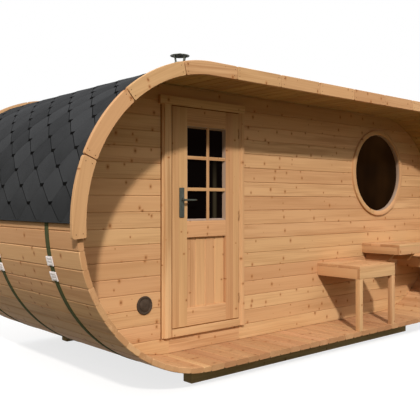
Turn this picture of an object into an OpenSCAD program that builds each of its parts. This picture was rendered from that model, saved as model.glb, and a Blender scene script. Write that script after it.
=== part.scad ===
// Oval barrel sauna: a wide stave barrel on two beams, with a covered terrace in front of a plank wall.
// Millimetres, +Z up. The origin lies on the ground under the middle of the building.
// +X runs along the wide front to the right, and the front faces -Y.

/* [Barrel] */
// Flat run of floor and roof between the two round ends
flat_run = 3000; // [2700:10:3600]
// Outer radius of the round ends, half the height of the barrel
barrel_radius = 1138; // [1100:1:1250]
// Thickness of the staves
stave_thick = 44; // [36:1:50]
// Length of the staves, front to back
barrel_depth = 2500; // [2200:10:3500]
// Number of staves in each quarter turn
quarter_staves = 14; // [10:1:18]
// Depth of the V joint between two staves
stave_joint = 4; // [2:0.5:6]

/* [Base] */
// Height of each beam under the barrel
beam_height = 136; // [90:1:200]
// Width of each beam, front to back
beam_width = 103; // [80:1:150]
// How far each beam reaches past the flat run
beam_over = 17; // [0:1:60]
// Distance from the stave ends to the near face of a beam
beam_setback = 213; // [60:1:260]
// Chamfer along the lower edges of a beam
beam_chamfer = 6; // [2:1:12]

/* [Roof] */
// Thickness of the shingle covering
shingle_thick = 25; // [10:1:30]
// Width of the curved fascia boards
fascia_width = 104; // [85:1:130]
// Thickness of the fascia boards
fascia_thick = 28; // [18:1:40]
// How far the fascia boards reach inside the staves
fascia_lap = 11; // [4:1:20]
// Angle the fascia drops below the middle of the barrel
fascia_drop = 5; // [2:0.5:10]
// Angle of one curved fascia board
fascia_arc = 27; // [24:0.5:29]
// Length of one straight fascia board as a share of the flat run
fascia_share = 0.1673; // [0.15:0.0001:0.18]
// Open joint between two fascia boards
fascia_joint = 2; // [1:0.5:4]

/* [Walls] */
// Depth of the covered terrace, from the stave ends to the front wall
terrace_depth = 512; // [500:1:700]
// Thickness of the front and rear walls
wall_thick = 44; // [40:1:60]
// Distance from the stave ends to the rear wall
rear_inset = 120; // [60:1:200]

/* [Door] */
// Distance from the left end of the flat run to the middle of the door
door_inset = 384; // [360:1:500]
// Width of the door leaf
leaf_width = 744; // [680:1:780]
// Room over the door leaf, up to the roof staves
head_room = 177; // [160:1:220]
// Thickness of the door leaf
leaf_thick = 40; // [34:1:42]
// Clearance round the door leaf
leaf_gap = 8; // [6:0.5:10]
// Height of the leaf's lower edge over the terrace floor
leaf_rise = 203; // [150:1:210]
// How far the leaf lies behind the face of the casings
leaf_recess = 10; // [8:1:14]
// Width of the leaf's two stiles
stile_width = 155; // [125:1:160]
// Height of the leaf's top rail
top_rail = 148; // [110:1:170]
// Height of the glazed opening as a share of the leaf's height
glazing_share = 0.437; // [0.39:0.001:0.45]
// Height of the rail under the glazing
middle_rail = 136; // [120:1:190]
// Height of the leaf's bottom rail
bottom_rail = 148; // [120:1:190]
// Width of the glazing bars
muntin_width = 28; // [20:1:44]
// How far the glazing bars lie behind the face of the leaf
muntin_set = 3; // [1:0.5:6]
// Thickness of the glazing bars on the outer side
muntin_depth = 8; // [6:0.5:12]
// Thickness of the glazing bars on the inner side of the pane
muntin_back = 5; // [4:0.5:8]
// Thickness of the glass in the door and in the window
glass_thick = 6; // [4:1:8]
// Thickness of the boarded panel in the leaf
panel_thick = 14; // [12:1:16]
// How far the panel lies behind the face of the leaf
panel_set = 23; // [16:1:24]
// Number of boards in the panel
panel_boards = 4; // [3:1:6]

/* [Door frame] */
// Face width of the casing on the closing side
closing_casing = 77; // [60:1:95]
// Face width of the casing on the hinge side
hinge_casing = 57; // [36:1:90]
// How far the casings stand out from the wall
casing_proud = 30; // [28:1:40]
// Width of the stepped inner edge of the casings
casing_step_w = 20; // [18:1:24]
// Depth of the step in the casings
casing_step = 8; // [4:1:9]
// Height of the header board
header_height = 70; // [60:1:110]
// How far the header reaches past the casing on the closing side
header_over = 46; // [20:1:60]
// How far the header reaches past the casing on the hinge side
header_end = 4; // [2:1:60]
// Width of the cover strip beside the casing on the closing side
cover_width = 14; // [10:1:18]
// How far the cover strip stands out from the wall
cover_proud = 15; // [10:1:20]
// How far the header stands in front of the casings
header_lip = 4; // [1:1:12]
// Height of the threshold
threshold_height = 62; // [60:1:100]
// Thickness of the lining in the doorway
jamb_thick = 15; // [12:1:20]
// How far the door stop reaches into the doorway
stop_width = 20; // [16:1:26]
// Clearance between the closed leaf and the door stop
stop_gap = 5; // [5:0.5:7]

/* [Door fittings] */
// Radius of a hinge knuckle
knuckle_radius = 5; // [4:0.25:5.5]
// Radius of a hinge pin
pin_radius = 2.5; // [2:0.25:3]
// Running clearance at pins and spindle
pin_gap = 0.4; // [0.3:0.05:0.6]
// Height of one hinge
hinge_height = 84; // [66:1:100]
// Width of a hinge plate on the leaf
hinge_plate = 8; // [7:1:44]
// Thickness of a hinge plate
hinge_thick = 2.5; // [2:0.25:3]
// Distance from the leaf's ends to the middle of the outer hinges
hinge_inset = 178; // [120:1:220]
// Width of the handle plate
plate_width = 50; // [44:1:60]
// Height of the handle plate
plate_height = 245; // [210:1:270]
// Reach of the handle plate below the lever
plate_below = 144; // [120:1:160]
// Distance from the lever down to the lock cylinder
lock_drop = 55; // [45:1:80]
// Radius of the lock cylinder
lock_radius = 9; // [7:0.5:11]
// How far the lock cylinder stands out from the plate
lock_proud = 4; // [2:0.5:6]
// Thickness of the handle plate
plate_thick = 8; // [6:0.5:10]
// Distance from the leaf's closing edge to the lever's spindle
backset = 95; // [70:1:100]
// Height of the lever over the leaf's lower edge
lever_rise = 1044; // [1000:1:1080]
// Length of the lever from its spindle
lever_length = 130; // [110:1:150]
// Thickness of the lever
lever_thick = 15; // [12:0.5:18]
// Distance from the plate to the lever
lever_off = 26; // [20:1:30]
// Radius of the lever's spindle neck
spindle_radius = 10; // [8:0.5:12]

/* [Round window] */
// Distance from the right end of the flat run to the middle of the window
window_inset = 76; // [50:1:250]
// Distance from the wooden ring up to the roof staves
window_gap = 161; // [120:1:180]
// Outer diameter of the wooden ring as a share of the room's height
ring_share = 0.4333; // [0.42:0.0001:0.456]
// Width of the ring's face
ring_face = 50; // [44:0.5:80]
// How far the ring stands out from the wall
ring_proud = 22; // [20:1:40]
// Thickness of the ring's lining in the wall
ring_lining = 24; // [18:1:28]
// Width of the lip that the pane rests against
ring_lip = 8; // [6:0.5:12]
// How far the pane lies behind the face of the wall
pane_depth = 26; // [10:1:30]
// Distance from the ring to the joint in the wall boards
bay_margin = 91; // [40:1:110]

/* [Vent] */
// Distance from the left end of the flat run out to the middle of the vent
vent_out = 252; // [240:1:300]
// Distance of the vent below the middle of the barrel
vent_drop = 677; // [640:1:700]
// Diameter of the vent cover
vent_cover_d = 147; // [130:1:160]
// Diameter of the duct through the wall
vent_duct_d = 100; // [80:1:110]
// How far the vent cover stands out from the wall
vent_proud = 12; // [8:1:18]
// Wall of the vent's duct
vent_wall = 3; // [2:0.5:4]

/* [Straps] */
// Width of a strap
strap_width = 55; // [40:1:65]
// Thickness of a strap
strap_thick = 3; // [2:0.5:4]
// Distance from the stave ends to the middle of the outer straps
strap_inset = 412; // [400:1:500]
// Distance of the middle strap behind the middle of the barrel
strap_shift = 45; // [0:1:90]
// Width of a strap buckle
buckle_width = 84; // [72:1:96]
// Height of a strap buckle
buckle_height = 68; // [56:1:76]
// Thickness of a strap buckle
buckle_thick = 9; // [6:0.5:12]
// Angle of the upper buckle below the middle of the barrel
buckle_angle = 13.5; // [10:0.5:16]
// Angle from one buckle to the next
buckle_step = 5.6; // [5.4:0.1:8]

/* [Flue] */
// Distance from the left end of the flat run to the middle of the flue
flue_inset = 999; // [600:1:2300]
// Distance from the rear stave ends to the middle of the flue
flue_back = 868; // [500:1:1400]
// Outer diameter of the flue pipe
flue_d = 120; // [100:1:150]
// Wall of the flue pipe
flue_wall = 3; // [2:0.5:5]
// Clearance between the pipe and the roof
flue_gap = 6; // [4:0.5:10]
// Height of the pipe over the shingles
flue_rise = 433; // [300:1:600]
// Width of the flashing round the pipe
flashing_width = 60; // [40:1:90]
// Thickness of the flashing
flashing_thick = 4; // [2:0.5:6]
// Diameter of the rain cap
cap_d = 206; // [180:1:260]
// Height of the rain cap
cap_height = 28; // [20:1:50]
// Gap between the pipe and the rain cap
cap_gap = 70; // [50:1:100]
// Width of the legs that carry the rain cap
cap_leg = 16; // [10:1:24]

/* [Seats and table] */
// How far the right-hand seat reaches into the round end, as a share of its inner radius
seat_reach = 0.8414; // [0.8:0.0002:0.86]
// Depth of a seat, from the wall
seat_depth = 511; // [420:1:512]
// Height of a seat over the terrace floor
seat_rise = 616; // [560:1:640]
// Height of the rails under a seat
seat_rail = 94; // [60:1:110]
// Width of the table
table_width = 575; // [520:1:600]
// Depth of the table, from the wall
table_depth = 460; // [400:1:490]
// Height of the table over the terrace floor
table_rise = 783; // [740:1:800]
// Height of the rails under the table
table_rail = 75; // [50:1:90]
// Gap between the table and the right-hand seat
seat_gap = 115; // [90:1:140]
// Gap between the table and the left-hand seat
left_seat_gap = 166; // [90:1:200]
// Thickness of the seat and table tops
top_thick = 28; // [28:1:46]
// Section of the seat legs
leg_section = 50; // [45:1:70]
// Thickness of the rails
rail_thick = 28; // [20:1:36]
// Height of a table bracket under the rails
bracket_drop = 97; // [60:1:110]
// Reach of a table bracket from the wall along its lower edge
bracket_reach = 255; // [180:1:290]
// Thickness of a table bracket
bracket_thick = 40; // [28:1:50]
// Distance from the table's ends to its brackets
bracket_inset = 61; // [40:1:90]

/* [Hidden] */
$fn = 240;
// heights
center_z = beam_height + barrel_radius;
inner_r = barrel_radius - stave_thick;
floor_z = center_z - inner_r;
roof_r = barrel_radius + shingle_thick;
beam_length = flat_run + 2 * beam_over;
// depths
front_y = -barrel_depth / 2;
wall_y = front_y + terrace_depth;
rear_y = -front_y - rear_inset - wall_thick;
// fascia
fascia_ri = inner_r - fascia_lap;
fascia_ro = fascia_ri + fascia_width;
fascia_board = flat_run * fascia_share;
fascia_half = fascia_board * 2.5;
joint_angle = fascia_joint / fascia_ro * 180 / PI;
// door
door_center = -flat_run / 2 + door_inset;
leaf_height = 2 * inner_r - leaf_rise - head_room;
glazing_height = round(leaf_height * glazing_share);
leaf_x0 = door_center - leaf_width / 2;
leaf_x1 = door_center + leaf_width / 2;
leaf_z0 = floor_z + leaf_rise;
leaf_z1 = leaf_z0 + leaf_height;
leaf_y = wall_y - casing_proud + leaf_recess;
jamb_x0 = leaf_x0 - leaf_gap;
jamb_x1 = leaf_x1 + leaf_gap;
head_z = leaf_z1 + leaf_gap;
sill_z = leaf_z0 - leaf_gap - threshold_height;
hole_x0 = jamb_x0 - jamb_thick;
hole_x1 = jamb_x1 + jamb_thick;
hole_z1 = head_z + jamb_thick;
wall_back = wall_y + wall_thick;
stop_y = leaf_y + leaf_thick + stop_gap;
glazing_x0 = leaf_x0 + stile_width;
glazing_x1 = leaf_x1 - stile_width;
glazing_z1 = leaf_z1 - top_rail;
glazing_z0 = glazing_z1 - glazing_height;
panel_z1 = glazing_z0 - middle_rail;
panel_z0 = leaf_z0 + bottom_rail;
pane_y = leaf_y + leaf_thick - muntin_back - glass_thick;
// hinges
hinge_x = leaf_x1;
hinge_y = leaf_y - knuckle_radius - 1;
hinge_z = [leaf_z0 + hinge_inset, (leaf_z0 + leaf_z1) / 2, leaf_z1 - hinge_inset];
knuckle_third = hinge_height / 3;
// lever
spindle_x = leaf_x0 + backset;
spindle_z = leaf_z0 + lever_rise;
plate_y = leaf_y - plate_thick;
lever_y = plate_y - lever_off - lever_thick;
// window
window_center = flat_run / 2 - window_inset;
ring_outer = 2 * round(10 * inner_r * ring_share) / 10;
ring_inner = ring_outer - 2 * ring_face;
window_rise = inner_r - window_gap - ring_outer / 2;
window_z = center_z + window_rise;
bay_x0 = window_center - ring_outer / 2 - bay_margin;
ring_hole_r = ring_inner / 2 + ring_lining;
pane_r = ring_inner / 2 + ring_lip;
pane_seat_y = wall_y + pane_depth;
// vent
vent_center = -flat_run / 2 - vent_out;
// seats and table
table_x0 = window_center - table_width / 2;
right_seat_x = table_x0 + table_width + seat_gap;
seat_width = flat_run / 2 + round(10 * seat_reach * inner_r) / 10 - right_seat_x;
left_seat_x = table_x0 - left_seat_gap - seat_width;
// flue
flue_x = -flat_run / 2 + flue_inset;
flue_y = -front_y - flue_back;
roof_z = center_z + roof_r;
pipe_z1 = roof_z + flue_rise;
leg_count = 4;
// cutting sizes
far = flat_run + 2 * barrel_radius;
wood = [0.80, 0.57, 0.40];
shade_wood = [0.63, 0.47, 0.29];
slate = [0.27, 0.27, 0.28];
dark_wood = [0.40, 0.29, 0.18];
glass_tint = [0.10, 0.07, 0.05];
steel = [0.36, 0.38, 0.36];

// A box from its lower corner to its upper corner
module block(lo, hi) {
  translate(lo) cube(hi - lo);
}

// A flat outline in the X-Z plane, measured from the barrel's middle, pushed back in depth
module section_solid(y0, y1) {
  translate([0, y1, center_z]) rotate([90, 0, 0]) linear_extrude(y1 - y0) children();
}

// The barrel's oval: two round ends and the flat run between them
module oval(r) {
  translate([-flat_run / 2, 0]) circle(r);
  translate([flat_run / 2, 0]) circle(r);
  square([flat_run, 2 * r], center = true);
}

// A quarter ring about the right-hand end, cut in the quadrant above the middle
module quarter_ring(ri, ro) {
  intersection() {
    difference() {
      circle(ro);
      circle(ri);
    }
    square(2 * ro);
  }
}

// One quarter of the round end with a V joint between staves, outside and inside
module quarter_staves_outline() {
  difference() {
    quarter_ring(inner_r, barrel_radius);
    for (i = [1 : quarter_staves - 1]) {
      rotate(i * 90 / quarter_staves) translate([barrel_radius, 0]) rotate(45)
        square(stave_joint, center = true);
    }
  }
}

// A quarter placed on its end: right or left, upper or lower
module on_end(right, upper) {
  mirror([right ? 0 : 1, 0]) mirror([0, upper ? 0 : 1]) translate([flat_run / 2, 0]) children();
}

// A flat run of staves with V joints in the outer face
module flat_staves_outline() {
  pitch = barrel_radius * PI / 2 / quarter_staves;
  count = round(flat_run / pitch);
  difference() {
    translate([-flat_run / 2, inner_r]) square([flat_run, stave_thick]);
    for (i = [0 : count]) {
      translate([-flat_run / 2 + i * flat_run / count, barrel_radius]) rotate(45)
        square(stave_joint, center = true);
    }
  }
}

// Two beams carry the flat bottom of the barrel
module base_beam(y0) {
  c = beam_chamfer;
  translate([-beam_length / 2, y0, 0]) rotate([90, 0, 90]) linear_extrude(beam_length) polygon([
    [c, 0], [beam_width - c, 0], [beam_width, c], [beam_width, beam_height], [0, beam_height], [0, c]
  ]);
}

module base_beams() {
  color(dark_wood) {
    base_beam(front_y + beam_setback);
    base_beam(-front_y - beam_setback - beam_width);
  }
}

module floor_staves() {
  color(wood) section_solid(front_y, -front_y) mirror([0, 1]) flat_staves_outline();
}

module left_lower_staves() {
  color(shade_wood) section_solid(front_y, -front_y) on_end(false, false) quarter_staves_outline();
}

module right_lower_staves() {
  color(shade_wood) section_solid(front_y, -front_y) on_end(true, false) quarter_staves_outline();
}

module left_upper_staves() {
  color(wood) section_solid(front_y, -front_y) on_end(false, true) quarter_ring(inner_r, barrel_radius);
}

module right_upper_staves() {
  color(wood) section_solid(front_y, -front_y) on_end(true, true) quarter_ring(inner_r, barrel_radius);
}

// The way for the flue through the roof
module flue_hole() {
  translate([flue_x, flue_y, center_z]) cylinder(r = flue_d / 2 + flue_gap, h = 2 * barrel_radius);
}

module roof_staves() {
  color(wood) difference() {
    section_solid(front_y, -front_y) translate([-flat_run / 2, inner_r]) square([flat_run, stave_thick]);
    flue_hole();
  }
}

module left_shingles() {
  color(slate) section_solid(front_y, -front_y) on_end(false, true) quarter_ring(barrel_radius, roof_r);
}

module right_shingles() {
  color(slate) section_solid(front_y, -front_y) on_end(true, true) quarter_ring(barrel_radius, roof_r);
}

module roof_shingles() {
  color(slate) difference() {
    section_solid(front_y, -front_y) translate([-flat_run / 2, barrel_radius])
      square([flat_run, shingle_thick]);
    flue_hole();
  }
}

// A curved fascia board between two angles, on the right-hand end
module fascia_arc_board(a0, a1) {
  far_r = 2 * fascia_ro;
  intersection() {
    difference() {
      circle(fascia_ro);
      circle(fascia_ri);
    }
    polygon([[0, 0], [far_r * cos(a0), far_r * sin(a0)], [far_r * cos(a1), far_r * sin(a1)]]);
  }
}

// The boards of the right half: three curved ones, then one that eases into the straight
module fascia_half_outline() {
  a3 = 3 * fascia_arc - fascia_drop;
  translate([flat_run / 2, 0]) {
    for (i = [0 : 2]) {
      a0 = i * fascia_arc - fascia_drop;
      fascia_arc_board(a0, a0 + fascia_arc - joint_angle);
    }
    fascia_arc_board(a3, 90);
  }
  ease_x = fascia_half + fascia_joint;
  translate([ease_x, fascia_ri]) square([flat_run / 2 - ease_x, fascia_width]);
}

module fascia_outline() {
  fascia_half_outline();
  mirror([1, 0]) fascia_half_outline();
  for (i = [-2 : 2]) {
    translate([(i - 0.5) * fascia_board, fascia_ri]) square([fascia_board - fascia_joint, fascia_width]);
  }
}

module front_fascia() {
  color(wood) section_solid(front_y - fascia_thick, front_y) fascia_outline();
}

module rear_fascia() {
  color(wood) section_solid(-front_y, -front_y + fascia_thick) fascia_outline();
}

// The front wall fills the oval, less the doorway and the round window
module front_wall_part(x0, x1, z0, z1) {
  section_solid(wall_y, wall_back) intersection() {
    oval(inner_r);
    translate([x0, z0 - center_z]) square([x1 - x0, z1 - z0]);
  }
}

module front_wall_left() {
  color(wood) difference() {
    front_wall_part(-far, hole_x0, -far, far);
    translate([vent_center, wall_y - 1, center_z - vent_drop]) rotate([-90, 0, 0])
      cylinder(d = vent_duct_d + 2 * pin_gap, h = wall_thick + 2);
  }
}

module front_wall_over_door() {
  color(wood) front_wall_part(hole_x0, hole_x1, hole_z1, far);
}

module front_wall_under_door() {
  color(wood) front_wall_part(hole_x0, hole_x1, -far, sill_z);
}

module front_wall_middle() {
  color(wood) front_wall_part(hole_x1, bay_x0, -far, far);
}

// The wall round the window is made in two halves that meet at the window's middle
module window_hole() {
  translate([window_center, wall_y - 1, window_z]) rotate([-90, 0, 0])
    cylinder(r = ring_hole_r, h = wall_thick + 2);
}

module front_wall_right_upper() {
  color(wood) difference() {
    front_wall_part(bay_x0, far, window_z, far);
    window_hole();
  }
}

module front_wall_right_lower() {
  color(wood) difference() {
    front_wall_part(bay_x0, far, -far, window_z);
    window_hole();
  }
}

module rear_wall() {
  color(wood) section_solid(rear_y, rear_y + wall_thick) oval(inner_r);
}

// A stepped casing, the lining behind it and the door stop, in one profile; side is -1 left, 1 right,
// and cover is the width of a lower strip beside the casing
module casing_profile(side, width, cover) {
  face_y = wall_y - casing_proud;
  polygon(concat(
    [[0, face_y + casing_step], [side * casing_step_w, face_y + casing_step],
     [side * casing_step_w, face_y], [side * width, face_y]],
    cover > 0 ? [[side * width, wall_y - cover_proud], [side * (width + cover), wall_y - cover_proud]] : [],
    [[side * (width + cover), wall_y], [side * jamb_thick, wall_y], [side * jamb_thick, wall_back],
     [-side * stop_width, wall_back], [-side * stop_width, stop_y], [0, stop_y]]
  ));
}

module door_casing_left() {
  color(wood) translate([jamb_x0, 0, sill_z]) linear_extrude(head_z - sill_z)
    casing_profile(-1, closing_casing, cover_width);
}

module door_casing_right() {
  color(wood) translate([jamb_x1, 0, sill_z]) linear_extrude(head_z - sill_z)
    casing_profile(1, hinge_casing, 0);
}

module door_header() {
  x0 = jamb_x0 - closing_casing - header_over;
  x1 = jamb_x1 + hinge_casing + header_end;
  color(wood) union() {
    block([x0, wall_y - casing_proud - header_lip, head_z], [x1, wall_y, head_z + header_height]);
    block([hole_x0, wall_y, head_z], [hole_x1, wall_back, hole_z1]);
    block([jamb_x0 + stop_width, stop_y, head_z - stop_width], [jamb_x1 - stop_width, wall_back, head_z]);
  }
}

// The threshold fills the foot of the doorway, narrower between the two door stops
module door_threshold() {
  z1 = sill_z + threshold_height;
  color(wood) union() {
    block([jamb_x0, wall_y - casing_proud, sill_z], [jamb_x1, stop_y, z1]);
    block([jamb_x0 + stop_width, stop_y, sill_z], [jamb_x1 - stop_width, wall_back, z1]);
  }
}

// Hinge plates and middle knuckles on the casing's edge, with pins that carry the leaf
module hinge_pins() {
  r = knuckle_radius;
  h = knuckle_third / 2;
  t = hinge_thick;
  color(steel) for (z = hinge_z) {
    translate([hinge_x, hinge_y, z - h]) cylinder(r = r, h = knuckle_third);
    translate([hinge_x, hinge_y, z - hinge_height / 2]) cylinder(r = pin_radius, h = hinge_height);
    block([hinge_x, hinge_y - t / 2, z - h], [jamb_x1, hinge_y + t / 2, z + h]);
    block([jamb_x1 - t, hinge_y - t / 2, z - h], [jamb_x1, leaf_y + hinge_thick * 3, z + h]);
  }
}

// The wooden ring: a face ring on the wall, a lining through it and a lip that carries the pane
module window_ring() {
  color(wood) translate([window_center, 0, window_z]) rotate([-90, 0, 0]) difference() {
    union() {
      translate([0, 0, wall_y - ring_proud]) cylinder(d = ring_outer, h = ring_proud);
      translate([0, 0, wall_y - ring_proud]) cylinder(r = ring_hole_r, h = ring_proud + wall_thick);
    }
    translate([0, 0, wall_y - ring_proud - 1]) cylinder(d = ring_inner, h = far);
    translate([0, 0, pane_seat_y]) cylinder(r = pane_r + pin_gap, h = far);
  }
}

module window_glass() {
  color(glass_tint) translate([window_center, pane_seat_y, window_z]) rotate([-90, 0, 0])
    cylinder(r = pane_r, h = glass_thick);
}

// A round vent: a domed cover on a duct through the wall
module vent_cover() {
  cover_r = vent_cover_d / 2;
  duct_r = vent_duct_d / 2;
  edge = vent_proud / 2;
  color(dark_wood) translate([vent_center, wall_y, center_z - vent_drop]) rotate([-90, 0, 0])
    rotate_extrude() polygon([
      [0, -vent_proud], [cover_r - edge, -vent_proud], [cover_r, -edge], [cover_r, 0], [duct_r, 0],
      [duct_r, wall_thick], [duct_r - vent_wall, wall_thick], [duct_r - vent_wall, -edge], [0, -edge]
    ]);
}

// A taut strap round the lower half of the barrel, up to the edge of the shingles
module strap_outline() {
  r = barrel_radius + strap_thick;
  on_end(true, false) quarter_ring(barrel_radius, r);
  on_end(false, false) quarter_ring(barrel_radius, r);
  translate([-flat_run / 2, -r]) square([flat_run, strap_thick]);
}

module each_strap() {
  for (y = [front_y + strap_inset, strap_shift, -front_y - strap_inset]) {
    translate([0, y, 0]) children();
  }
}

module straps() {
  color([0.27, 0.33, 0.24]) each_strap() section_solid(-strap_width / 2, strap_width / 2) strap_outline();
}

// Two buckles on each strap, on the left side
module strap_buckles() {
  r = barrel_radius + strap_thick;
  a = buckle_height / r * 180 / PI;
  color([0.88, 0.86, 0.84]) each_strap() section_solid(-buckle_width / 2, buckle_width / 2) {
    for (i = [0 : 1]) {
      on_end(false, false) intersection() {
        quarter_ring(r, r + buckle_thick);
        rotate(buckle_angle + i * buckle_step) polygon([
          [0, 0], [2 * r * cos(a / 2), -2 * r * sin(a / 2)], [2 * r * cos(a / 2), 2 * r * sin(a / 2)]
        ]);
      }
    }
  }
}

// The flue: a pipe through the roof with a flashing that lies on the shingles
module flue_pipe() {
  color(steel) translate([flue_x, flue_y, 0]) difference() {
    union() {
      translate([0, 0, center_z + inner_r]) cylinder(d = flue_d, h = pipe_z1 - center_z - inner_r);
      translate([0, 0, roof_z]) cylinder(r = flue_d / 2 + flashing_width, h = flashing_thick);
      translate([0, 0, roof_z])
        cylinder(r1 = (flue_d + flashing_width) / 2, r2 = flue_d / 2, h = flashing_width);
    }
    translate([0, 0, center_z]) cylinder(d = flue_d - 2 * flue_wall, h = far);
  }
}

// The rain cap stands on four short legs on the rim of the pipe
module flue_cap() {
  color(steel) translate([flue_x, flue_y, pipe_z1]) union() {
    translate([0, 0, cap_gap]) cylinder(d1 = cap_d, d2 = cap_d / 8, h = cap_height);
    for (i = [0 : leg_count - 1]) {
      rotate(45 + i * 360 / leg_count) translate([flue_d / 2 - flue_wall, -cap_leg / 2, 0])
        cube([flue_wall, cap_leg, cap_gap + 1]);
    }
  }
}

// The room inside the barrel in front of the wall, which trims what stands against the staves
module terrace_space() {
  section_solid(front_y, wall_y) oval(inner_r);
}

module seat_top(x0) {
  z1 = floor_z + seat_rise;
  block([x0, wall_y - seat_depth, z1 - top_thick], [x0 + seat_width, wall_y, z1]);
}

// Two front legs and the rails between them and the wall
module seat_frame(x0) {
  z1 = floor_z + seat_rise - top_thick;
  x1 = x0 + seat_width;
  y0 = wall_y - seat_depth;
  union() {
    block([x0, y0, floor_z], [x0 + leg_section, y0 + leg_section, z1]);
    block([x1 - leg_section, y0, floor_z], [x1, y0 + leg_section, z1]);
    block([x0, y0, z1 - seat_rail], [x1, y0 + rail_thick, z1]);
    block([x0, y0, z1 - seat_rail], [x0 + rail_thick, wall_y, z1]);
    block([x1 - rail_thick, y0, z1 - seat_rail], [x1, wall_y, z1]);
    block([x0, wall_y - rail_thick, z1 - seat_rail], [x1, wall_y, z1]);
  }
}

module left_seat_top() {
  color(wood) seat_top(left_seat_x);
}

module left_seat_frame() {
  color(wood) seat_frame(left_seat_x);
}

// The right-hand seat is trimmed to the round end of the barrel
module right_seat_top() {
  color(wood) intersection() {
    seat_top(right_seat_x);
    terrace_space();
  }
}

module right_seat_frame() {
  color(wood) intersection() {
    seat_frame(right_seat_x);
    terrace_space();
  }
}

module table_top() {
  z1 = floor_z + table_rise;
  color(wood) block([table_x0, wall_y - table_depth, z1 - top_thick], [table_x0 + table_width, wall_y, z1]);
}

// A bracket under the table: level along the wall end, then rising at 45 degrees to the rails
module table_bracket(x) {
  z1 = floor_z + table_rise - top_thick;
  deep = table_rail + bracket_drop;
  translate([x, wall_y, z1]) rotate([90, 0, 90]) linear_extrude(bracket_thick) polygon([
    [0, 0], [0, -deep], [-bracket_reach, -deep], [-bracket_reach - deep, 0]
  ]);
}

module table_frame() {
  z1 = floor_z + table_rise - top_thick;
  x1 = table_x0 + table_width;
  y0 = wall_y - table_depth;
  color(wood) union() {
    block([table_x0, y0, z1 - table_rail], [x1, y0 + rail_thick, z1]);
    block([table_x0, y0, z1 - table_rail], [table_x0 + rail_thick, wall_y, z1]);
    block([x1 - rail_thick, y0, z1 - table_rail], [x1, wall_y, z1]);
    block([table_x0, wall_y - rail_thick, z1 - table_rail], [x1, wall_y, z1]);
    table_bracket(table_x0 + bracket_inset);
    table_bracket(x1 - bracket_inset - bracket_thick);
  }
}

// The leaf's stiles and rails, open for the glazing and for the panel
module door_frame() {
  y1 = leaf_y + leaf_thick;
  color(wood) difference() {
    block([leaf_x0, leaf_y, leaf_z0], [leaf_x1, y1, leaf_z1]);
    block([glazing_x0, leaf_y - 1, glazing_z0], [glazing_x1, y1 + 1, glazing_z1]);
    block([glazing_x0, leaf_y - 1, panel_z0], [glazing_x1, y1 + 1, panel_z1]);
  }
}

module door_glass() {
  color(glass_tint) block([glazing_x0, pane_y, glazing_z0], [glazing_x1, pane_y + glass_thick, glazing_z1]);
}

// One upright and two cross bars, six panes in all
module muntin_grid(y0, y1) {
  w = muntin_width / 2;
  xm = (glazing_x0 + glazing_x1) / 2;
  union() {
    block([xm - w, y0, glazing_z0], [xm + w, y1, glazing_z1]);
    for (i = [1 : 2]) {
      z = glazing_z0 + i * glazing_height / 3;
      block([glazing_x0, y0, z - w], [glazing_x1, y1, z + w]);
    }
  }
}

module door_muntins() {
  color(wood) {
    muntin_grid(leaf_y + muntin_set, leaf_y + muntin_set + muntin_depth);
    muntin_grid(pane_y + glass_thick, leaf_y + leaf_thick);
  }
}

// The lower panel of upright boards, with a V joint between boards on the outer face
module door_panel() {
  y0 = leaf_y + panel_set;
  pitch = (glazing_x1 - glazing_x0) / panel_boards;
  j = stave_joint;
  color(wood) difference() {
    block([glazing_x0, y0, panel_z0], [glazing_x1, y0 + panel_thick, panel_z1]);
    for (i = [1 : panel_boards - 1]) {
      translate([glazing_x0 + i * pitch, y0, panel_z0 - 1]) rotate(45)
        translate([-j, -j, 0]) cube([2 * j, 2 * j, panel_z1 - panel_z0 + 2]);
    }
  }
}

// Hinge plates on the leaf with an upper and a lower knuckle, bored for the pin
module door_hinges() {
  r = knuckle_radius;
  gap = pin_gap;
  color(steel) for (z = hinge_z) {
    for (side = [-1, 1]) {
      z0 = side > 0 ? z + knuckle_third / 2 + gap : z - hinge_height / 2;
      z1 = side > 0 ? z + hinge_height / 2 : z - knuckle_third / 2 - gap;
      difference() {
        union() {
          translate([hinge_x, hinge_y, z0]) cylinder(r = r, h = z1 - z0);
          block([hinge_x - hinge_plate, leaf_y - hinge_thick, z0], [hinge_x, leaf_y, z1]);
          block([hinge_x - r, hinge_y, z0], [hinge_x, leaf_y, z1]);
        }
        translate([hinge_x, hinge_y, z0 - 1]) cylinder(r = pin_radius + gap, h = z1 - z0 + 2);
      }
    }
  }
}

// The long plate behind the lever, bored for its spindle, with the lock cylinder below
module handle_plate() {
  z0 = spindle_z - plate_below;
  color(steel) difference() {
    union() {
      translate([spindle_x - plate_width / 2, plate_y, z0]) cube([plate_width, plate_thick, plate_height]);
      translate([spindle_x, plate_y - lock_proud, spindle_z - lock_drop]) rotate([-90, 0, 0])
        cylinder(r = lock_radius, h = lock_proud + plate_thick / 2);
    }
    translate([spindle_x, plate_y - 1, spindle_z]) rotate([-90, 0, 0])
      cylinder(r = spindle_radius + pin_gap, h = plate_thick + 2);
  }
}

// The lever: a neck in the plate's bore and a bar that points to the hinges
module door_lever() {
  h = lever_thick / 2;
  tip_x = spindle_x + lever_length - h;
  color(steel) union() {
    translate([spindle_x, lever_y, spindle_z]) rotate([-90, 0, 0])
      cylinder(r = spindle_radius, h = leaf_y - lever_y - pin_gap);
    block([spindle_x, lever_y, spindle_z - h], [tip_x, lever_y + lever_thick, spindle_z + h]);
    translate([tip_x, lever_y, spindle_z]) rotate([-90, 0, 0])
      cylinder(r = h, h = lever_thick);
  }
}

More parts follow.
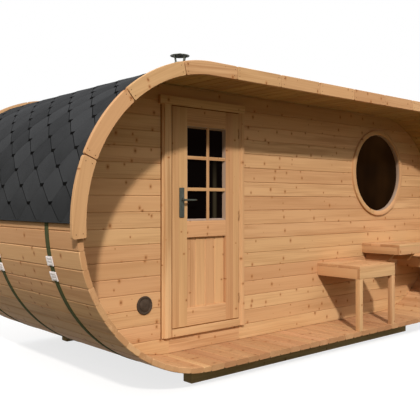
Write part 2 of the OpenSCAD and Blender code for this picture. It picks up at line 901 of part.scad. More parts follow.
base_beams();
floor_staves();
left_lower_staves();
right_lower_staves();
left_upper_staves();
right_upper_staves();
roof_staves();
left_shingles();
roof_shingles();
right_shingles();
front_fascia();
rear_fascia();
front_wall_left();
front_wall_over_door();
front_wall_under_door();
front_wall_middle();
front_wall_right_upper();
front_wall_right_lower();
rear_wall();
door_casing_left();
door_casing_right();
door_header();
door_threshold();
hinge_pins();
window_ring();
window_glass();
vent_cover();
straps();
strap_buckles();
flue_pipe();
flue_cap();
left_seat_top();
left_seat_frame();
right_seat_top();
right_seat_frame();
table_top();
table_frame();
door_frame();
door_glass();
door_muntins();
door_panel();
door_hinges();
handle_plate();
door_lever();
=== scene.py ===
# %% [markdown]
# # An oval barrel sauna, dressed board by board
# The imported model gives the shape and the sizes. This lesson dresses it: every stave, wall board, shingle and
# fitting becomes a piece of its own, and every finish is made from shader nodes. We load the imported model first,
# because the main measures below are read from it.

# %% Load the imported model
import math
import random

import bmesh
import bpy
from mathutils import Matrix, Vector


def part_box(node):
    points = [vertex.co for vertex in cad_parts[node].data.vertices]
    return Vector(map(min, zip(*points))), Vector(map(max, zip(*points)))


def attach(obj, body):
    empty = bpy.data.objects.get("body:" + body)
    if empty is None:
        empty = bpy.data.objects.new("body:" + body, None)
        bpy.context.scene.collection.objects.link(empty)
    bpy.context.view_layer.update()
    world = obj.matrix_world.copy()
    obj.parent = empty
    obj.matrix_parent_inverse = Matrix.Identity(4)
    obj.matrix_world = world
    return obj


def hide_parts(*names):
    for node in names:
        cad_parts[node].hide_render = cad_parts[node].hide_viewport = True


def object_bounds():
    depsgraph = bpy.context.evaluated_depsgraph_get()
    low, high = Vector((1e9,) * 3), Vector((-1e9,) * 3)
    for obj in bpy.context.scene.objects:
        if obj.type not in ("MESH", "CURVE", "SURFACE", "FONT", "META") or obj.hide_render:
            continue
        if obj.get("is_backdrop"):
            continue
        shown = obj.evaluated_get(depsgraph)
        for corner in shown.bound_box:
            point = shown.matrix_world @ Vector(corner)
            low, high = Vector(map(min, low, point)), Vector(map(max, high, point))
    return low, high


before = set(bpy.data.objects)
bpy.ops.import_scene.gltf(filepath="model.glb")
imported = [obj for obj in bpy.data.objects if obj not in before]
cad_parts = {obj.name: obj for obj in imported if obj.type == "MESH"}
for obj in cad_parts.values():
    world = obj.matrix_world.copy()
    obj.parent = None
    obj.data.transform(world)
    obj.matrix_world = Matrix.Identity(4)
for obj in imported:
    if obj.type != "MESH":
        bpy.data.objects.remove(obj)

cad_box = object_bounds()
rng = random.Random(20)

# %% [markdown]
# The barrel is an oval: two half rounds and a flat run between them. Its few governing sizes are read from the boxes
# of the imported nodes, so that the boards follow if the model changes.

# %% Read the barrel's sizes
lo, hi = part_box("left_upper_staves")
END_X, MID_Z, STAVE_R, FRONT_Y = -hi.x, lo.z, hi.z - lo.z, lo.y
INNER_R = STAVE_R - (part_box("roof_staves")[1].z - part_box("roof_staves")[0].z)
FLOOR_Z = MID_Z - INNER_R
WALL_Y, WALL_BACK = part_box("front_wall_middle")[0].y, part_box("front_wall_middle")[1].y
REAR_Y, REAR_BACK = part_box("rear_wall")[0].y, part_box("rear_wall")[1].y
print(f"round ends at x ±{END_X:.3f}, outer radius {STAVE_R:.3f}, inner {INNER_R:.3f}, middle at z {MID_Z:.3f}")

# %% [markdown]
# ## Shader maths as Python
# A finish is a small sum of patterns. Writing each node by hand hides the sum, so one class wraps an output socket and
# lets ordinary operators add the Math nodes. Any other node comes from its one method, node().

# %% The socket class
class Wire:
    """An output socket that can be added, multiplied and mixed like a number."""

    def __init__(self, tree, socket=None):
        self.tree, self.socket = tree, socket

    def node(self, kind, settings=None, sockets=None, out=0):
        """Adds a node: its settings first, then the values or links of its sockets. Gives the output asked for."""
        made = self.tree.nodes.new("ShaderNode" + kind)
        for key, value in (settings or {}).items():
            setattr(made, key, value)
        for key, value in (sockets or {}).items():
            entry = made.inputs[key]
            if isinstance(value, Wire):
                self.tree.links.new(value.socket, entry)
            elif entry.type == "RGBA" and len(value) == 3:
                entry.default_value = (*value, 1)
            else:
                entry.default_value = value
        return Wire(self.tree, made.outputs[out])

    def also(self, out):
        """Another output of the same node."""
        return Wire(self.tree, self.socket.node.outputs[out])

    def math(self, operation, a, b=0.0):
        return self.node("Math", {"operation": operation}, {0: a, 1: b})

    def __add__(self, other):
        return self.math("ADD", self, other)

    def __sub__(self, other):
        return self.math("SUBTRACT", self, other)

    def __rsub__(self, other):
        return self.math("SUBTRACT", other, self)

    def __mul__(self, other):
        return self.math("MULTIPLY", self, other)

    def __truediv__(self, other):
        return self.math("DIVIDE", self, other)

    def __pow__(self, other):
        return self.math("POWER", self, other)

    __radd__, __rmul__ = __add__, __mul__

    def between(self, low, high):
        """0 below low, 1 above high, smooth in between."""
        return self.node("MapRange", {"interpolation_type": "SMOOTHSTEP"}, {0: self, 1: low, 2: high})

    def mix(self, a, b):
        """Colour a where this value is 0, colour b where it is 1."""
        return self.node("Mix", {"data_type": "RGBA"}, {0: self, 6: a, 7: b}, out=2)

    def scaled(self, by):
        """This vector, multiplied axis by axis."""
        return self.node("VectorMath", {"operation": "MULTIPLY"}, {0: self, 1: by})

    def noise(self, by, detail=3.0, rough=0.5):
        """Noise on this vector, with so many blotches to the metre on each axis."""
        return self.node("TexNoise", None, {"Vector": self.scaled(by), "Scale": 1.0, "Detail": detail,
                                            "Roughness": rough})

    def split(self):
        """The three parts of this vector."""
        first = self.node("SeparateXYZ", None, {0: self})
        return first, first.also("Y"), first.also("Z")

    def bump(self, strength, distance):
        """A normal for a surface that stands out by this value times the distance."""
        return self.node("Bump", None, {"Strength": strength, "Distance": distance, "Height": self}, out="Normal")

    def carried(self, name, out="Fac"):
        """What the mesh carries under this name."""
        return self.node("Attribute", {"attribute_name": name}, out=out)


def new_material(name):
    """An empty Principled material: its first wire and its shader."""
    made = bpy.data.materials.new(name)
    made.use_nodes = True
    return made, Wire(made.node_tree), made.node_tree.nodes["Principled BSDF"]


def feed(shader, **wires):
    """Links wires to the shader's sockets, or sets plain values on them."""
    for key, value in wires.items():
        entry = shader.inputs[key.replace("_", " ")]
        if isinstance(value, Wire):
            value.tree.links.new(value.socket, entry)
        else:
            entry.default_value = value


print("wires ready")

# %% [markdown]
# ## Pine
# Planed pine has growth rings, long soft streaks and small dark knots, and no two boards have the same tone. Each board
# carries its own coordinates: along, across and through the board, measured from the heart of its tree. The rings are
# circles about that heart, so faces, edges and end grain agree without any unwrapping.

# %% The pine finish
def pine(name, pale, warm, deep, knot, rough=0.55, knots=1.0, contrast=1.0):
    made, wire, shader = new_material(name)
    grain = wire.carried("grain", "Vector")
    tone = wire.carried("tone")
    long_face = 1 - wire.carried("cut")
    along, across, through = grain.split()
    # knots sit in the cells of a stretched Voronoi pattern, and some cells have none
    cell_long, cell_wide, largest, tiny = 0.21, 0.10, 0.0112, 0.0001
    cells = grain.node("TexVoronoi", {"voronoi_dimensions": "2D"},
                       {"Vector": grain.scaled((1 / cell_long, 1 / cell_wide, 1)), "Scale": 1.0}, out="Position")
    at_long, at_wide, _ = cells.split()
    off_long, off_wide = along - at_long * cell_long, across - at_wide * cell_wide
    distance = ((off_long * 1.05) ** 2.0 + (off_wide * 0.8) ** 2.0) ** 0.5
    pick = cells.node("SeparateColor", None, {0: cells.also("Color")})
    size = pick.between(0.22, 0.95) * (largest * knots) * long_face
    core = 1 - (distance / (size + tiny)).between(0.35, 1.1)
    halo = 1 - (distance / (size * 2.4 + tiny)).between(0.3, 1.0)
    # rings bend round the knots and wander along the board; one turn of the sine is one year
    wander = grain.noise((0.8, 5.0, 5.0), 2.0)
    radius = (across ** 2.0 + through ** 2.0) ** 0.5 + wander * 0.05 + halo * 0.006
    turns = 560.0
    rings = wire.math("SINE", radius * turns) * 0.5 + 0.5
    streaks = grain.noise((1.6, 75.0, 75.0), 4.0, 0.6)
    blotch = grain.noise((0.9, 13.0, 13.0), 2.0)
    figure = (streaks - 0.5) * (1.05 * contrast) + (rings - 0.5) * (0.22 * contrast) + blotch * 2.0 - 0.55
    wood = figure.between(0.1, 0.95).mix(pale, deep)
    # the board's own tone, spread by factors that don't share a period: warmer, straw-coloured, darker, dark sawn ends
    wood = (tone * 0.75).mix(wood, warm)
    straw = (pale[0] * 0.84, pale[1] * 0.95, pale[2] * 0.82)
    wood = (wire.math("FRACT", tone * 3.7) * 0.42).mix(wood, straw)
    wood = ((1 - wire.math("FRACT", tone * 7.0)) * 0.50).mix(wood, deep)
    wood = (wire.math("FRACT", tone * 13.0) * (1 - long_face) * 0.75).mix(wood, deep)
    wood = (halo * 0.6).mix(wood, (deep[0] * 1.02, deep[1] * 0.86, deep[2] * 0.68))
    wood = (core * 0.85).mix(wood, knot)
    height = streaks * 0.6 + rings * 0.3 - core * 0.5
    feed(shader, Base_Color=wood, Roughness=streaks * 0.18 + (rough - 0.08), Normal=height.bump(0.35, 0.0012),
         Specular_IOR_Level=0.06)
    return made


PINE = pine("pine", (0.705, 0.424, 0.226), (0.636, 0.343, 0.175), (0.436, 0.219, 0.100), (0.225, 0.092, 0.035))
# the floor and the ceiling take darker copies of the pine: painted shade, deepest on the ceiling under the roof
FLOOR_PINE_PAINTED_SHADE = pine("floor_pine_painted_shade", (0.586, 0.333, 0.178), (0.527, 0.268, 0.136), (0.363, 0.174, 0.081),
                  (0.180, 0.074, 0.030))
CEILING_PINE_PAINTED_SHADE = pine("ceiling_pine_painted_shade", (0.460, 0.300, 0.125), (0.410, 0.245, 0.096), (0.280, 0.152, 0.054),
                    (0.130, 0.058, 0.022))
DOOR_PINE = pine("door_pine", (0.705, 0.414, 0.215), (0.642, 0.340, 0.168), (0.440, 0.218, 0.098),
                 (0.200, 0.083, 0.033), knots=0.7, contrast=1.3)
# the beams' colour is lifted far above a dark stain: painted light for the shade under the floor
BEAM_TIMBER_PAINTED_LIGHT = pine("dark_timber", (0.730, 0.510, 0.262), (0.610, 0.415, 0.200), (0.425, 0.275, 0.122),
                   (0.110, 0.060, 0.028), rough=0.7)
BEAD = pine("glazing_bead", (0.440, 0.330, 0.270), (0.400, 0.280, 0.220), (0.300, 0.190, 0.130), (0.10, 0.05, 0.03),
            knots=0.2)
print("pine finishes", [m.name for m in (PINE, FLOOR_PINE_PAINTED_SHADE, CEILING_PINE_PAINTED_SHADE, DOOR_PINE, BEAM_TIMBER_PAINTED_LIGHT, BEAD)])

# %% [markdown]
# ## The other finishes
# Shingles are bitumen felt with mineral grit, so a fine speckle sets both colour and bump. The straps are woven: two
# sines, along and across, give the ribs, and wear makes them paler in places. Constants stay on the shader's sockets.

# %% Grit and weave
def grit():
    made, wire, shader = new_material("shingle")
    place = wire.node("TexCoord", out="Object")
    tone = wire.carried("tone")
    speck = place.noise((420.0, 420.0, 420.0), 2.0, 0.7)
    cloud = place.noise((3.0, 3.0, 3.0), 3.0, 0.6)
    level = (speck - 0.5) * 1.3 + (cloud - 0.5) * 0.5 + (tone - 0.5) * 0.40 + 0.5
    colour = level.between(0.0, 1.0).mix((0.0200, 0.0208, 0.0224), (0.0535, 0.0555, 0.0595))
    feed(shader, Base_Color=colour, Roughness=speck * 0.2 + 0.75, Normal=speck.bump(0.5, 0.0015),
         Specular_IOR_Level=0.03)
    return made


def weave():
    made, wire, shader = new_material("strap")
    grain = wire.carried("grain", "Vector")
    along, across, _ = grain.split()
    ribs = wire.math("SINE", along * 1500.0) * 0.25 + wire.math("SINE", across * 1900.0) * 0.25 + 0.5
    edge = wire.math("ABSOLUTE", across).between(0.018, 0.026)
    wear = grain.noise((6.0, 30.0, 30.0), 3.0)
    colour = (ribs * 0.5 + wear * 0.5).mix((0.044, 0.049, 0.020), (0.098, 0.106, 0.050))
    colour = (edge * 0.35).mix(colour, (0.034, 0.040, 0.017))
    feed(shader, Base_Color=colour, Roughness=wear * 0.15 + 0.72, Normal=ribs.bump(0.6, 0.001),
         Specular_IOR_Level=0.05)
    return made


GRIT, WEAVE = grit(), weave()
print("finishes", GRIT.name, WEAVE.name)

# %% [markdown]
# Painted metal, bare steel and plastic differ in colour, gloss and how metallic they are, so one function with those
# values serves for all: fine marks and larger stains set the colour, and the stains dull the gloss. The glass is dark
# because the room behind it has no light. It could be clear, with a dark room built behind it; instead that room is
# painted light, a faint glow in its colours in the glass, which keeps the same look from every side.

# %% Metal, plastic and glass
def metal(name, dark, light, metallic, rough, stretch=(30.0, 30.0, 30.0), shine=0.5):
    made, wire, shader = new_material(name)
    place = wire.node("TexCoord", out="Object")
    fine = place.noise(stretch, 3.0, 0.6)
    stain = place.noise((7.0, 7.0, 5.0), 4.0, 0.6)
    colour = (fine * 0.5 + stain * 0.5).between(0.25, 0.75).mix(dark, light)
    feed(shader, Base_Color=colour, Roughness=stain * 0.25 + rough, Metallic=metallic, Normal=fine.bump(0.15, 0.0008),
         Specular_IOR_Level=shine)
    return made


def glass_with_painted_glow(name, dark, light, painted_post=None):
    made, wire, shader = new_material(name)
    place = wire.node("TexCoord", out="Object")
    haze = place.noise((2.2, 2.2, 1.4), 2.0)
    # painted light: the dim room behind the glass, darker and lighter in patches, goes into the emission below
    room = haze.between(0.35, 0.8).mix(dark, light)
    if painted_post:
        # painted light: the edge of something pale in the dark room behind the lower right panes, as a brighter glow
        post_at, post_half, post_end = 0.76, (0.015, 0.075), (0.25, 0.75)
        across, _, up = place.also("Generated").split()
        aside = wire.math("ABSOLUTE", across - post_at)
        room = ((1 - aside.between(*post_half)) * (1 - up.between(*post_end))).mix(room, painted_post)
    feed(shader, Base_Color=(0.001, 0.001, 0.001, 1), Emission_Color=room, Emission_Strength=1.0,
         Roughness=haze * 0.03 + 0.02, Specular_IOR_Level=0.0)
    return made


DOOR_GLASS = glass_with_painted_glow("door_glass", (0.0018, 0.0008, 0.0006), (0.0050, 0.0022, 0.0015), painted_post=(0.034, 0.026, 0.014))
WINDOW_GLASS = glass_with_painted_glow("window_glass", (0.0070, 0.0026, 0.0007), (0.0250, 0.0095, 0.0026))
DARK_STEEL = metal("dark_steel", (0.036, 0.042, 0.034), (0.086, 0.096, 0.080), 0.10, 0.40, shine=0.2)
BRONZE = metal("hinge_bronze", (0.320, 0.170, 0.076), (0.480, 0.270, 0.128), 0.10, 0.45, shine=0.1)
# dark brown: partly a seal's own colour, partly painted shade of the gaps it fills
SEAL_AND_GAP_SHADE = metal("seal_and_gap_shade", (0.130, 0.040, 0.007), (0.230, 0.082, 0.016), 0.0, 0.80, shine=0.0)
RUST = metal("nail_rust", (0.090, 0.040, 0.018), (0.230, 0.110, 0.050), 0.10, 0.60, shine=0.1)
FLUE_STEEL = metal("flue_steel", (0.140, 0.146, 0.115), (0.290, 0.300, 0.240), 0.35, 0.40, (18.0, 18.0, 90.0))
BUCKLE_WHITE = metal("buckle", (0.720, 0.670, 0.670), (0.860, 0.810, 0.810), 0.0, 0.40, shine=0.2)
VENT_BROWN = metal("vent_brown", (0.045, 0.031, 0.022), (0.085, 0.060, 0.044), 0.0, 0.45, shine=0.06)
# black pads on the shingles: darker grit and painted shade under the tips, painted shadow along the tab edges
DARK_GRIT_AND_PAINTED_SHADE = metal("dark_grit_and_painted_shade", (0.004, 0.004, 0.004), (0.010, 0.010, 0.010), 0.0, 0.80, shine=0.0)
others = DOOR_GLASS, WINDOW_GLASS, DARK_STEEL, BRONZE, SEAL_AND_GAP_SHADE, RUST, FLUE_STEEL, BUCKLE_WHITE, VENT_BROWN, DARK_GRIT_AND_PAINTED_SHADE
print("finishes", [m.name for m in others])

# %% [markdown]
# ## A bench for boards
# A board is a row of outlines joined by faces, closed at both ends: a loft. A class gathers the lofts of one piece,
# with the board coordinates and a tone for each, and turns them into one mesh that rides on its body. Modifiers could
# cut the same shapes, but lofts give clean faces and known coordinates.

# %% The bench
X, Y, Z = (1, 0, 0), (0, 1, 0), (0, 0, 1)


def into_scene(name, data):
    """A linked object that holds this mesh, lamp or camera."""
    made = bpy.data.objects.new(name, data)
    bpy.context.scene.collection.objects.link(made)
    return made


class Bench:
    """Gathers boards, then makes them one piece."""

    def __init__(self):
        self.points, self.faces, self.grain, self.tone, self.cut = [], [], [], [], []

    def add(self, points, faces, along, across, centre=None, tone=None, ends=()):
        """Adds one board: its points and faces, the directions of its length and width, and the faces sawn across."""
        along, across = Vector(along).normalized(), Vector(across).normalized()
        through = along.cross(across)
        centre = Vector(centre) if centre else sum(map(Vector, points), Vector()) / len(points)
        start = rng.uniform(0, 60)
        heart = Vector((rng.uniform(-0.05, 0.05), rng.uniform(0.02, 0.09)))
        tone = rng.random() if tone is None else tone
        places = {}
        for p in points:
            if tuple(p) in places:
                continue
            places[tuple(p)] = len(self.points)
            off = Vector(p) - centre
            self.points.append(tuple(p))
            self.grain += [start + off.dot(along), off.dot(across) + heart.x, off.dot(through) + heart.y]
            self.tone.append(tone)
        for i, face in enumerate(faces):
            corners = list(dict.fromkeys(places[tuple(points[j])] for j in face))
            if len(corners) > 2:
                self.faces.append(corners)
                self.cut.append(float(i in ends))

    def loft(self, loops, along, across, tone=None):
        """Joins closed outlines of equal length, and caps the first and the last."""
        count = len(loops[0])
        points = [p for loop in loops for p in loop]
        faces = [list(range(count))[::-1], [len(points) - count + i for i in range(count)]]
        for j in range(len(loops) - 1):
            for i in range(count):
                k = (i + 1) % count
                faces.append([j * count + i, j * count + k, (j + 1) * count + k, (j + 1) * count + i])
        self.add(points, faces, along, across, tone=tone, ends=(0, 1))

    def plank(self, low, high, along, ease, across=None, reshape=None, tone=None):
        """A squared board from corner to corner, with eased edges; reshape moves its points afterwards."""
        axes = {"x": X, "y": Y, "z": Z}
        size = Vector(high) - Vector(low)
        middle = (Vector(high) + Vector(low)) / 2
        bm = bmesh.new()
        bmesh.ops.create_cube(bm, size=1.0)
        for v in bm.verts:
            v.co = Vector(a * b for a, b in zip(v.co, size)) + middle
        bmesh.ops.bevel(bm, geom=bm.edges[:], offset=min(ease, min(size) * 0.4), segments=2, profile=0.7,
                        affect="EDGES")
        bm.verts.index_update()
        bm.faces.index_update()
        bm.normal_update()
        ends = {f.index for f in bm.faces if abs(f.normal["xyz".index(along)]) > 0.9}
        points = [reshape(tuple(v.co)) if reshape else tuple(v.co) for v in bm.verts]
        faces = [[v.index for v in f.verts] for f in bm.faces]
        bm.free()
        widest = max((a for a in "xyz" if a != along), key=lambda a: size["xyz".index(a)])
        self.add(points, faces, axes[along], axes[across or widest], middle, tone, ends)

    def lathe(self, profile, place, axis, steps):
        """Turns a closed outline of (radius, height) points about an axis through place."""
        turn = {"z": lambda r, h, c, s: (r * c, r * s, h), "y": lambda r, h, c, s: (r * c, h, r * s)}[axis]
        points, faces = [], []
        for j in range(steps):
            a = 2 * math.pi * j / steps
            points += [tuple(Vector(turn(r, h, math.cos(a), math.sin(a))) + Vector(place)) for r, h in profile]
        n = len(profile)
        for j in range(steps):
            m = (j + 1) % steps
            faces += [[j * n + i, m * n + i, m * n + (i + 1) % n, j * n + (i + 1) % n] for i in range(n)]
        self.add(points, faces, Z, X, place)

    def make(self, name, material, body, slot, *nodes, smooth=35):
        """One mesh of all that was added, with its finish, its body and the nodes it stands for."""
        mesh = bpy.data.meshes.new(name)
        mesh.from_pydata(self.points, [], self.faces)
        mesh.attributes.new("grain", "FLOAT_VECTOR", "POINT").data.foreach_set("vector", self.grain)
        mesh.attributes.new("tone", "FLOAT", "POINT").data.foreach_set("value", self.tone)
        mesh.attributes.new("cut", "FLOAT", "FACE").data.foreach_set("value", self.cut)
        bm = bmesh.new()
        bm.from_mesh(mesh)
        bmesh.ops.recalc_face_normals(bm, faces=bm.faces)
        bm.to_mesh(mesh)
        bm.free()
        mesh.polygons.foreach_set("use_smooth", [True] * len(mesh.polygons))
        mesh.set_sharp_from_angle(angle=math.radians(smooth))
        mesh.materials.append(material)
        piece = into_scene(name, mesh)
        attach(piece, body)
        if nodes:
            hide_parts(*nodes)
        print(f"{name}: {len(mesh.polygons)} faces")


print("bench ready")

# %% [markdown]
# ## Staves
# The barrel is closed by narrow staves that run from front to back, each with a small V along its edges, outside and
# in. On the rounds a stave's outline is a slice of the ring, on the flats a plain rectangle. Drawing the outline once
# and pushing it from end to end gives every stave its own tone and grain.

# %% Staves of the rounds
QUARTER = 14  # staves to a quarter round
PITCH = math.radians(90 / QUARTER)
STAVE_GAP, STAVE_V, END_EASE = 0.0006, 0.0060, 0.004
LEVEL_SHARE = 0.42  # how much of the stave at mid height lies below the middle


def ring_point(side, angle, radius):
    """A point of the oval's end in x and z: side -1 left, 1 right, the angle from level, up positive."""
    return side * (END_X + radius * math.cos(angle)), MID_Z + radius * math.sin(angle)


def stave_outline(side, a0, a1, ease=0.0):
    """The slice between two angles, with a V at its four corners; ease draws all of it in."""
    slit = STAVE_GAP / STAVE_R
    lead = (STAVE_V + ease) / STAVE_R
    a0, a1 = a0 + slit, a1 - slit
    middle = (a0 + a1) / 2
    outer, inner = STAVE_R - ease, INNER_R + ease
    places = [(a0, outer - STAVE_V), (a0 + lead, outer), (middle, outer), (a1 - lead, outer),
              (a1, outer - STAVE_V), (a1, inner + STAVE_V), (a1 - lead, inner), (middle, inner),
              (a0 + lead, inner), (a0, inner + STAVE_V)]
    return [ring_point(side, a, r) for a, r in places]


def round_staves(name, side, up, node):
    """One quarter of the barrel: up 1 above the middle, -1 below."""
    bench = Bench()
    share = LEVEL_SHARE if up < 0 else 1 - LEVEL_SHARE
    joints = [0] + [k + share for k in range(QUARTER)] + [QUARTER]
    for j0, j1 in zip(joints, joints[1:]):
        a0, a1 = sorted((up * j0 * PITCH, up * j1 * PITCH))
        stations = [(FRONT_Y, END_EASE), (FRONT_Y + END_EASE, 0), (-FRONT_Y - END_EASE, 0), (-FRONT_Y, END_EASE)]
        loops = [[(x, y, z) for x, z in stave_outline(side, a0, a1, e)] for y, e in stations]
        angle = (a0 + a1) / 2
        bench.loft(loops, Y, (-side * math.sin(angle), 0, math.cos(angle)))
    # the upper staves show only as the ceiling, so they take the pine with painted shade
    bench.make(name, CEILING_PINE_PAINTED_SHADE if up > 0 else PINE, "sauna", "pine", node)


for side, word in ((-1, "left"), (1, "right")):
    round_staves(word + "_lower_stave_boards", side, -1, word + "_lower_staves")
    round_staves(word + "_upper_stave_boards", side, 1, word + "_upper_staves")

# %% [markdown]
# The flats need the same staves, but two of the roof's make way for the flue. A strip builder serves here and for the
# walls: at each place along a board it asks how far the board reaches to both sides, so a round notch or a rounded end
# is only another pair of limits.

# %% Strips with free edges
FLAT_PITCH, FLAT_JOINT, FLAT_COUNT = 0.1265, 0.026, 11
FLOOR_V, FLUE_NOTCH, NOTCH_STEP = 0.009, 0.066, 0.001


def strip(bench, stations, front, back, ease, to_xyz, along, across, tone=None):
    """A board from (place, low edge, high edge) stations, with eased long edges on both faces."""
    loops = []
    e = ease if back > front else -ease
    for place, low, high in stations:
        c = min(ease, (high - low) * 0.45)
        outline = [(low, back - e), (low, front + e), (low + c, front), (high - c, front), (high, front + e),
                   (high, back - e), (high - c, back), (low + c, back)]
        loops.append([to_xyz(place, edge, depth) for edge, depth in outline])
    bench.loft(loops, along, across, tone=tone)


def flat_staves(name, up, node, finish, v_joint):
    """The staves between the rounds: up 1 for the roof, -1 for the floor."""
    bench = Bench()
    flue = (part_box("flue_pipe")[0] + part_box("flue_pipe")[1]) / 2
    joints = [-END_X] + [FLAT_JOINT + k * FLAT_PITCH for k in range(-FLAT_COUNT, FLAT_COUNT + 1)] + [END_X]
    for j0, j1 in zip(joints, joints[1:]):
        x0, x1 = j0 + STAVE_GAP, j1 - STAVE_GAP
        places = [FRONT_Y, -FRONT_Y]
        meets = up > 0 and x0 < flue.x + FLUE_NOTCH and x1 > flue.x - FLUE_NOTCH
        if meets:
            places += [flue.y + FLUE_NOTCH * math.sin(math.radians(a)) for a in range(-90, 91, 10)]
            places += [flue.y - FLUE_NOTCH - NOTCH_STEP, flue.y + FLUE_NOTCH + NOTCH_STEP]
        stations = []
        for y in sorted(places):
            low, high = x0, x1
            reach = FLUE_NOTCH ** 2 - (y - flue.y) ** 2
            if meets and reach >= 0:
                if x0 < flue.x - FLUE_NOTCH:
                    high = min(high, flue.x - math.sqrt(reach))
                else:
                    low = max(low, flue.x + math.sqrt(reach))
            stations.append((y, low, high))
        strip(bench, stations, MID_Z + up * STAVE_R, MID_Z + up * INNER_R, v_joint, lambda p, e, d: (e, p, d), Y, X)
    bench.make(name, finish, "sauna", "pine", node)


flat_staves("floor_stave_boards", -1, "floor_staves", FLOOR_PINE_PAINTED_SHADE, FLOOR_V)
flat_staves("roof_stave_boards", 1, "roof_staves", CEILING_PINE_PAINTED_SHADE, STAVE_V)

# %% [markdown]
# ## Wall boards
# Both walls are level boards, 128 mm from joint to joint, cut to the oval. The front wall leaves room for the doorway
# and the round window. Each row is a strip whose lower and upper edges follow the row, the oval or the window.

# %% Rows of the walls
ROW, ROW_GAP, WALL_EASE = 0.128, 0.0004, 0.0045
DOOR_ROWS, STATIONS, FOOT_FLAT = 16, 420, 0.25
LEAST, LEAST_ROW = 0.002, 0.01  # the lowest piece of a board and the lowest row that are worth making
casing_l, casing_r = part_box("door_casing_left"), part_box("door_casing_right")
DOOR_X0, DOOR_X1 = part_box("front_wall_left")[1].x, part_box("front_wall_middle")[0].x
SILL_Z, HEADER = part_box("door_threshold")[0].z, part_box("door_header")
ring_lo, ring_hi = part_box("window_ring")
WINDOW = Vector(((ring_lo.x + ring_hi.x) / 2, 0, (ring_lo.z + ring_hi.z) / 2))
RING_R = (ring_hi.x - ring_lo.x) / 2
WINDOW_CUT, CUT_END, WALL_PLAY = RING_R - 0.022, 0.006, 0.0005


def oval_half_height(x):
    """How far the room reaches up and down from its middle at this x."""
    past = max(0.0, abs(x) - END_X)
    return math.sqrt(max(0.0, INNER_R ** 2 - past ** 2)) - WALL_PLAY


def wall_row(z0, z1, x, window):
    """The row's lower and upper edge at this x, or None where the row is cut away."""
    low, high = max(z0, MID_Z - oval_half_height(x)), min(z1, MID_Z + oval_half_height(x))
    aside = abs(x - WINDOW.x)
    if window and aside < WINDOW_CUT:
        reach = math.sqrt(WINDOW_CUT ** 2 - aside ** 2)
        if z0 < WINDOW.z < z1:
            return None if aside < WINDOW_CUT - CUT_END else (low, high)
        if z1 <= WINDOW.z:
            high = min(high, WINDOW.z - reach)
        else:
            low = max(low, WINDOW.z + reach)
    return (low, high) if high - low > LEAST else None


def wall(name, front, back, pierced, nodes):
    """All rows of a wall. A pierced one leaves room for doorway and window, and has a short board under the sill."""
    bench = Bench()

    def lay(stations):
        strip(bench, stations, front, back, WALL_EASE, lambda p, e, d: (p, d, e), X, Z)

    limit = END_X + INNER_R
    row = 0
    while FLOOR_Z + row * ROW < MID_Z + INNER_R - LEAST_ROW:
        z0 = FLOOR_Z + row * ROW + ROW_GAP
        z1 = min(FLOOR_Z + (row + 1) * ROW - ROW_GAP, MID_Z + INNER_R)
        spans = [(-limit, DOOR_X0), (DOOR_X1, limit)] if pierced and row < DOOR_ROWS else [(-limit, limit)]
        row += 1
        for s0, s1 in spans:
            stations = []
            for i in range(STATIONS + 1):
                x = s0 + (s1 - s0) * i / STATIONS
                edges = wall_row(z0, z1, x, pierced)
                if edges:
                    stations.append((x, *edges))
                if (not edges or i == STATIONS) and len(stations) > 1:
                    # only the stations where an edge bends are needed
                    lay([s for j, s in enumerate(stations) if j in (0, len(stations) - 1)
                         or s[1:] != stations[j - 1][1:] or s[1:] != stations[j + 1][1:]])
                    stations = []
    if pierced:
        foot = FLOOR_Z + ROW_GAP
        lay([(DOOR_X0, *wall_row(foot, SILL_Z, DOOR_X0, False)), (-END_X + FOOT_FLAT, foot, SILL_Z),
             (DOOR_X1, foot, SILL_Z)])
    bench.make(name, PINE, "sauna", "pine", *nodes)


wall("front_wall_boards", WALL_Y, WALL_BACK, True,
     ["front_wall_left", "front_wall_over_door", "front_wall_under_door", "front_wall_middle",
      "front_wall_right_upper", "front_wall_right_lower"])
wall("rear_wall_boards", REAR_BACK, REAR_Y, False, ["rear_wall"])

# %% [markdown]
# ## Shingles
# Felt shingles with pointed tabs cover the upper half. A tab is a plate that tilts: its point lies on the courses
# below, its head on the roof. Laying courses half a tab apart gives the diamonds. An image would not do, since the tabs
# stand out at the edge of the roof, so each is a small bent plate. A place on the roof is how far it is from the eave.

# %% One tab
TAB, COURSE, TIP = 0.325, 0.1257, 0.020  # width of a tab, height of a course, half the width of a tip
TAB_LONG, TAB_THICK, TAB_GAP, FEATHER = 0.276, 0.0024, 0.0006, 0.014
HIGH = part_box("roof_shingles")[1].z - MID_Z - STAVE_R + 0.002
ROOF_EDGE = -FRONT_Y - 0.001
ARC = STAVE_R * math.pi / 2
HALF = ARC + END_X


def roof_point(side, place, y, height):
    """The point this far up the roof from the eave of one side, and this high over the staves."""
    if place < ARC:
        x, z = ring_point(side, place / STAVE_R, STAVE_R + height)
        return x, y, z
    return side * (END_X - (place - ARC)), y, MID_Z + STAVE_R + height


def tab_top(up):
    """The height of a tab's face this far up from its tip, so that each course lies flat on the one below."""
    return HIGH - TAB_THICK * up / COURSE


def roof_slice(side, place, y0, y1, top, low, thin=0.0):
    """A layer's outline from y0 to y1 at one place up the roof; thin feathers its front edge."""
    return [roof_point(side, place, y0 + thin, top), roof_point(side, place, y1, top),
            roof_point(side, place, y1, low), roof_point(side, place, y0, low)]


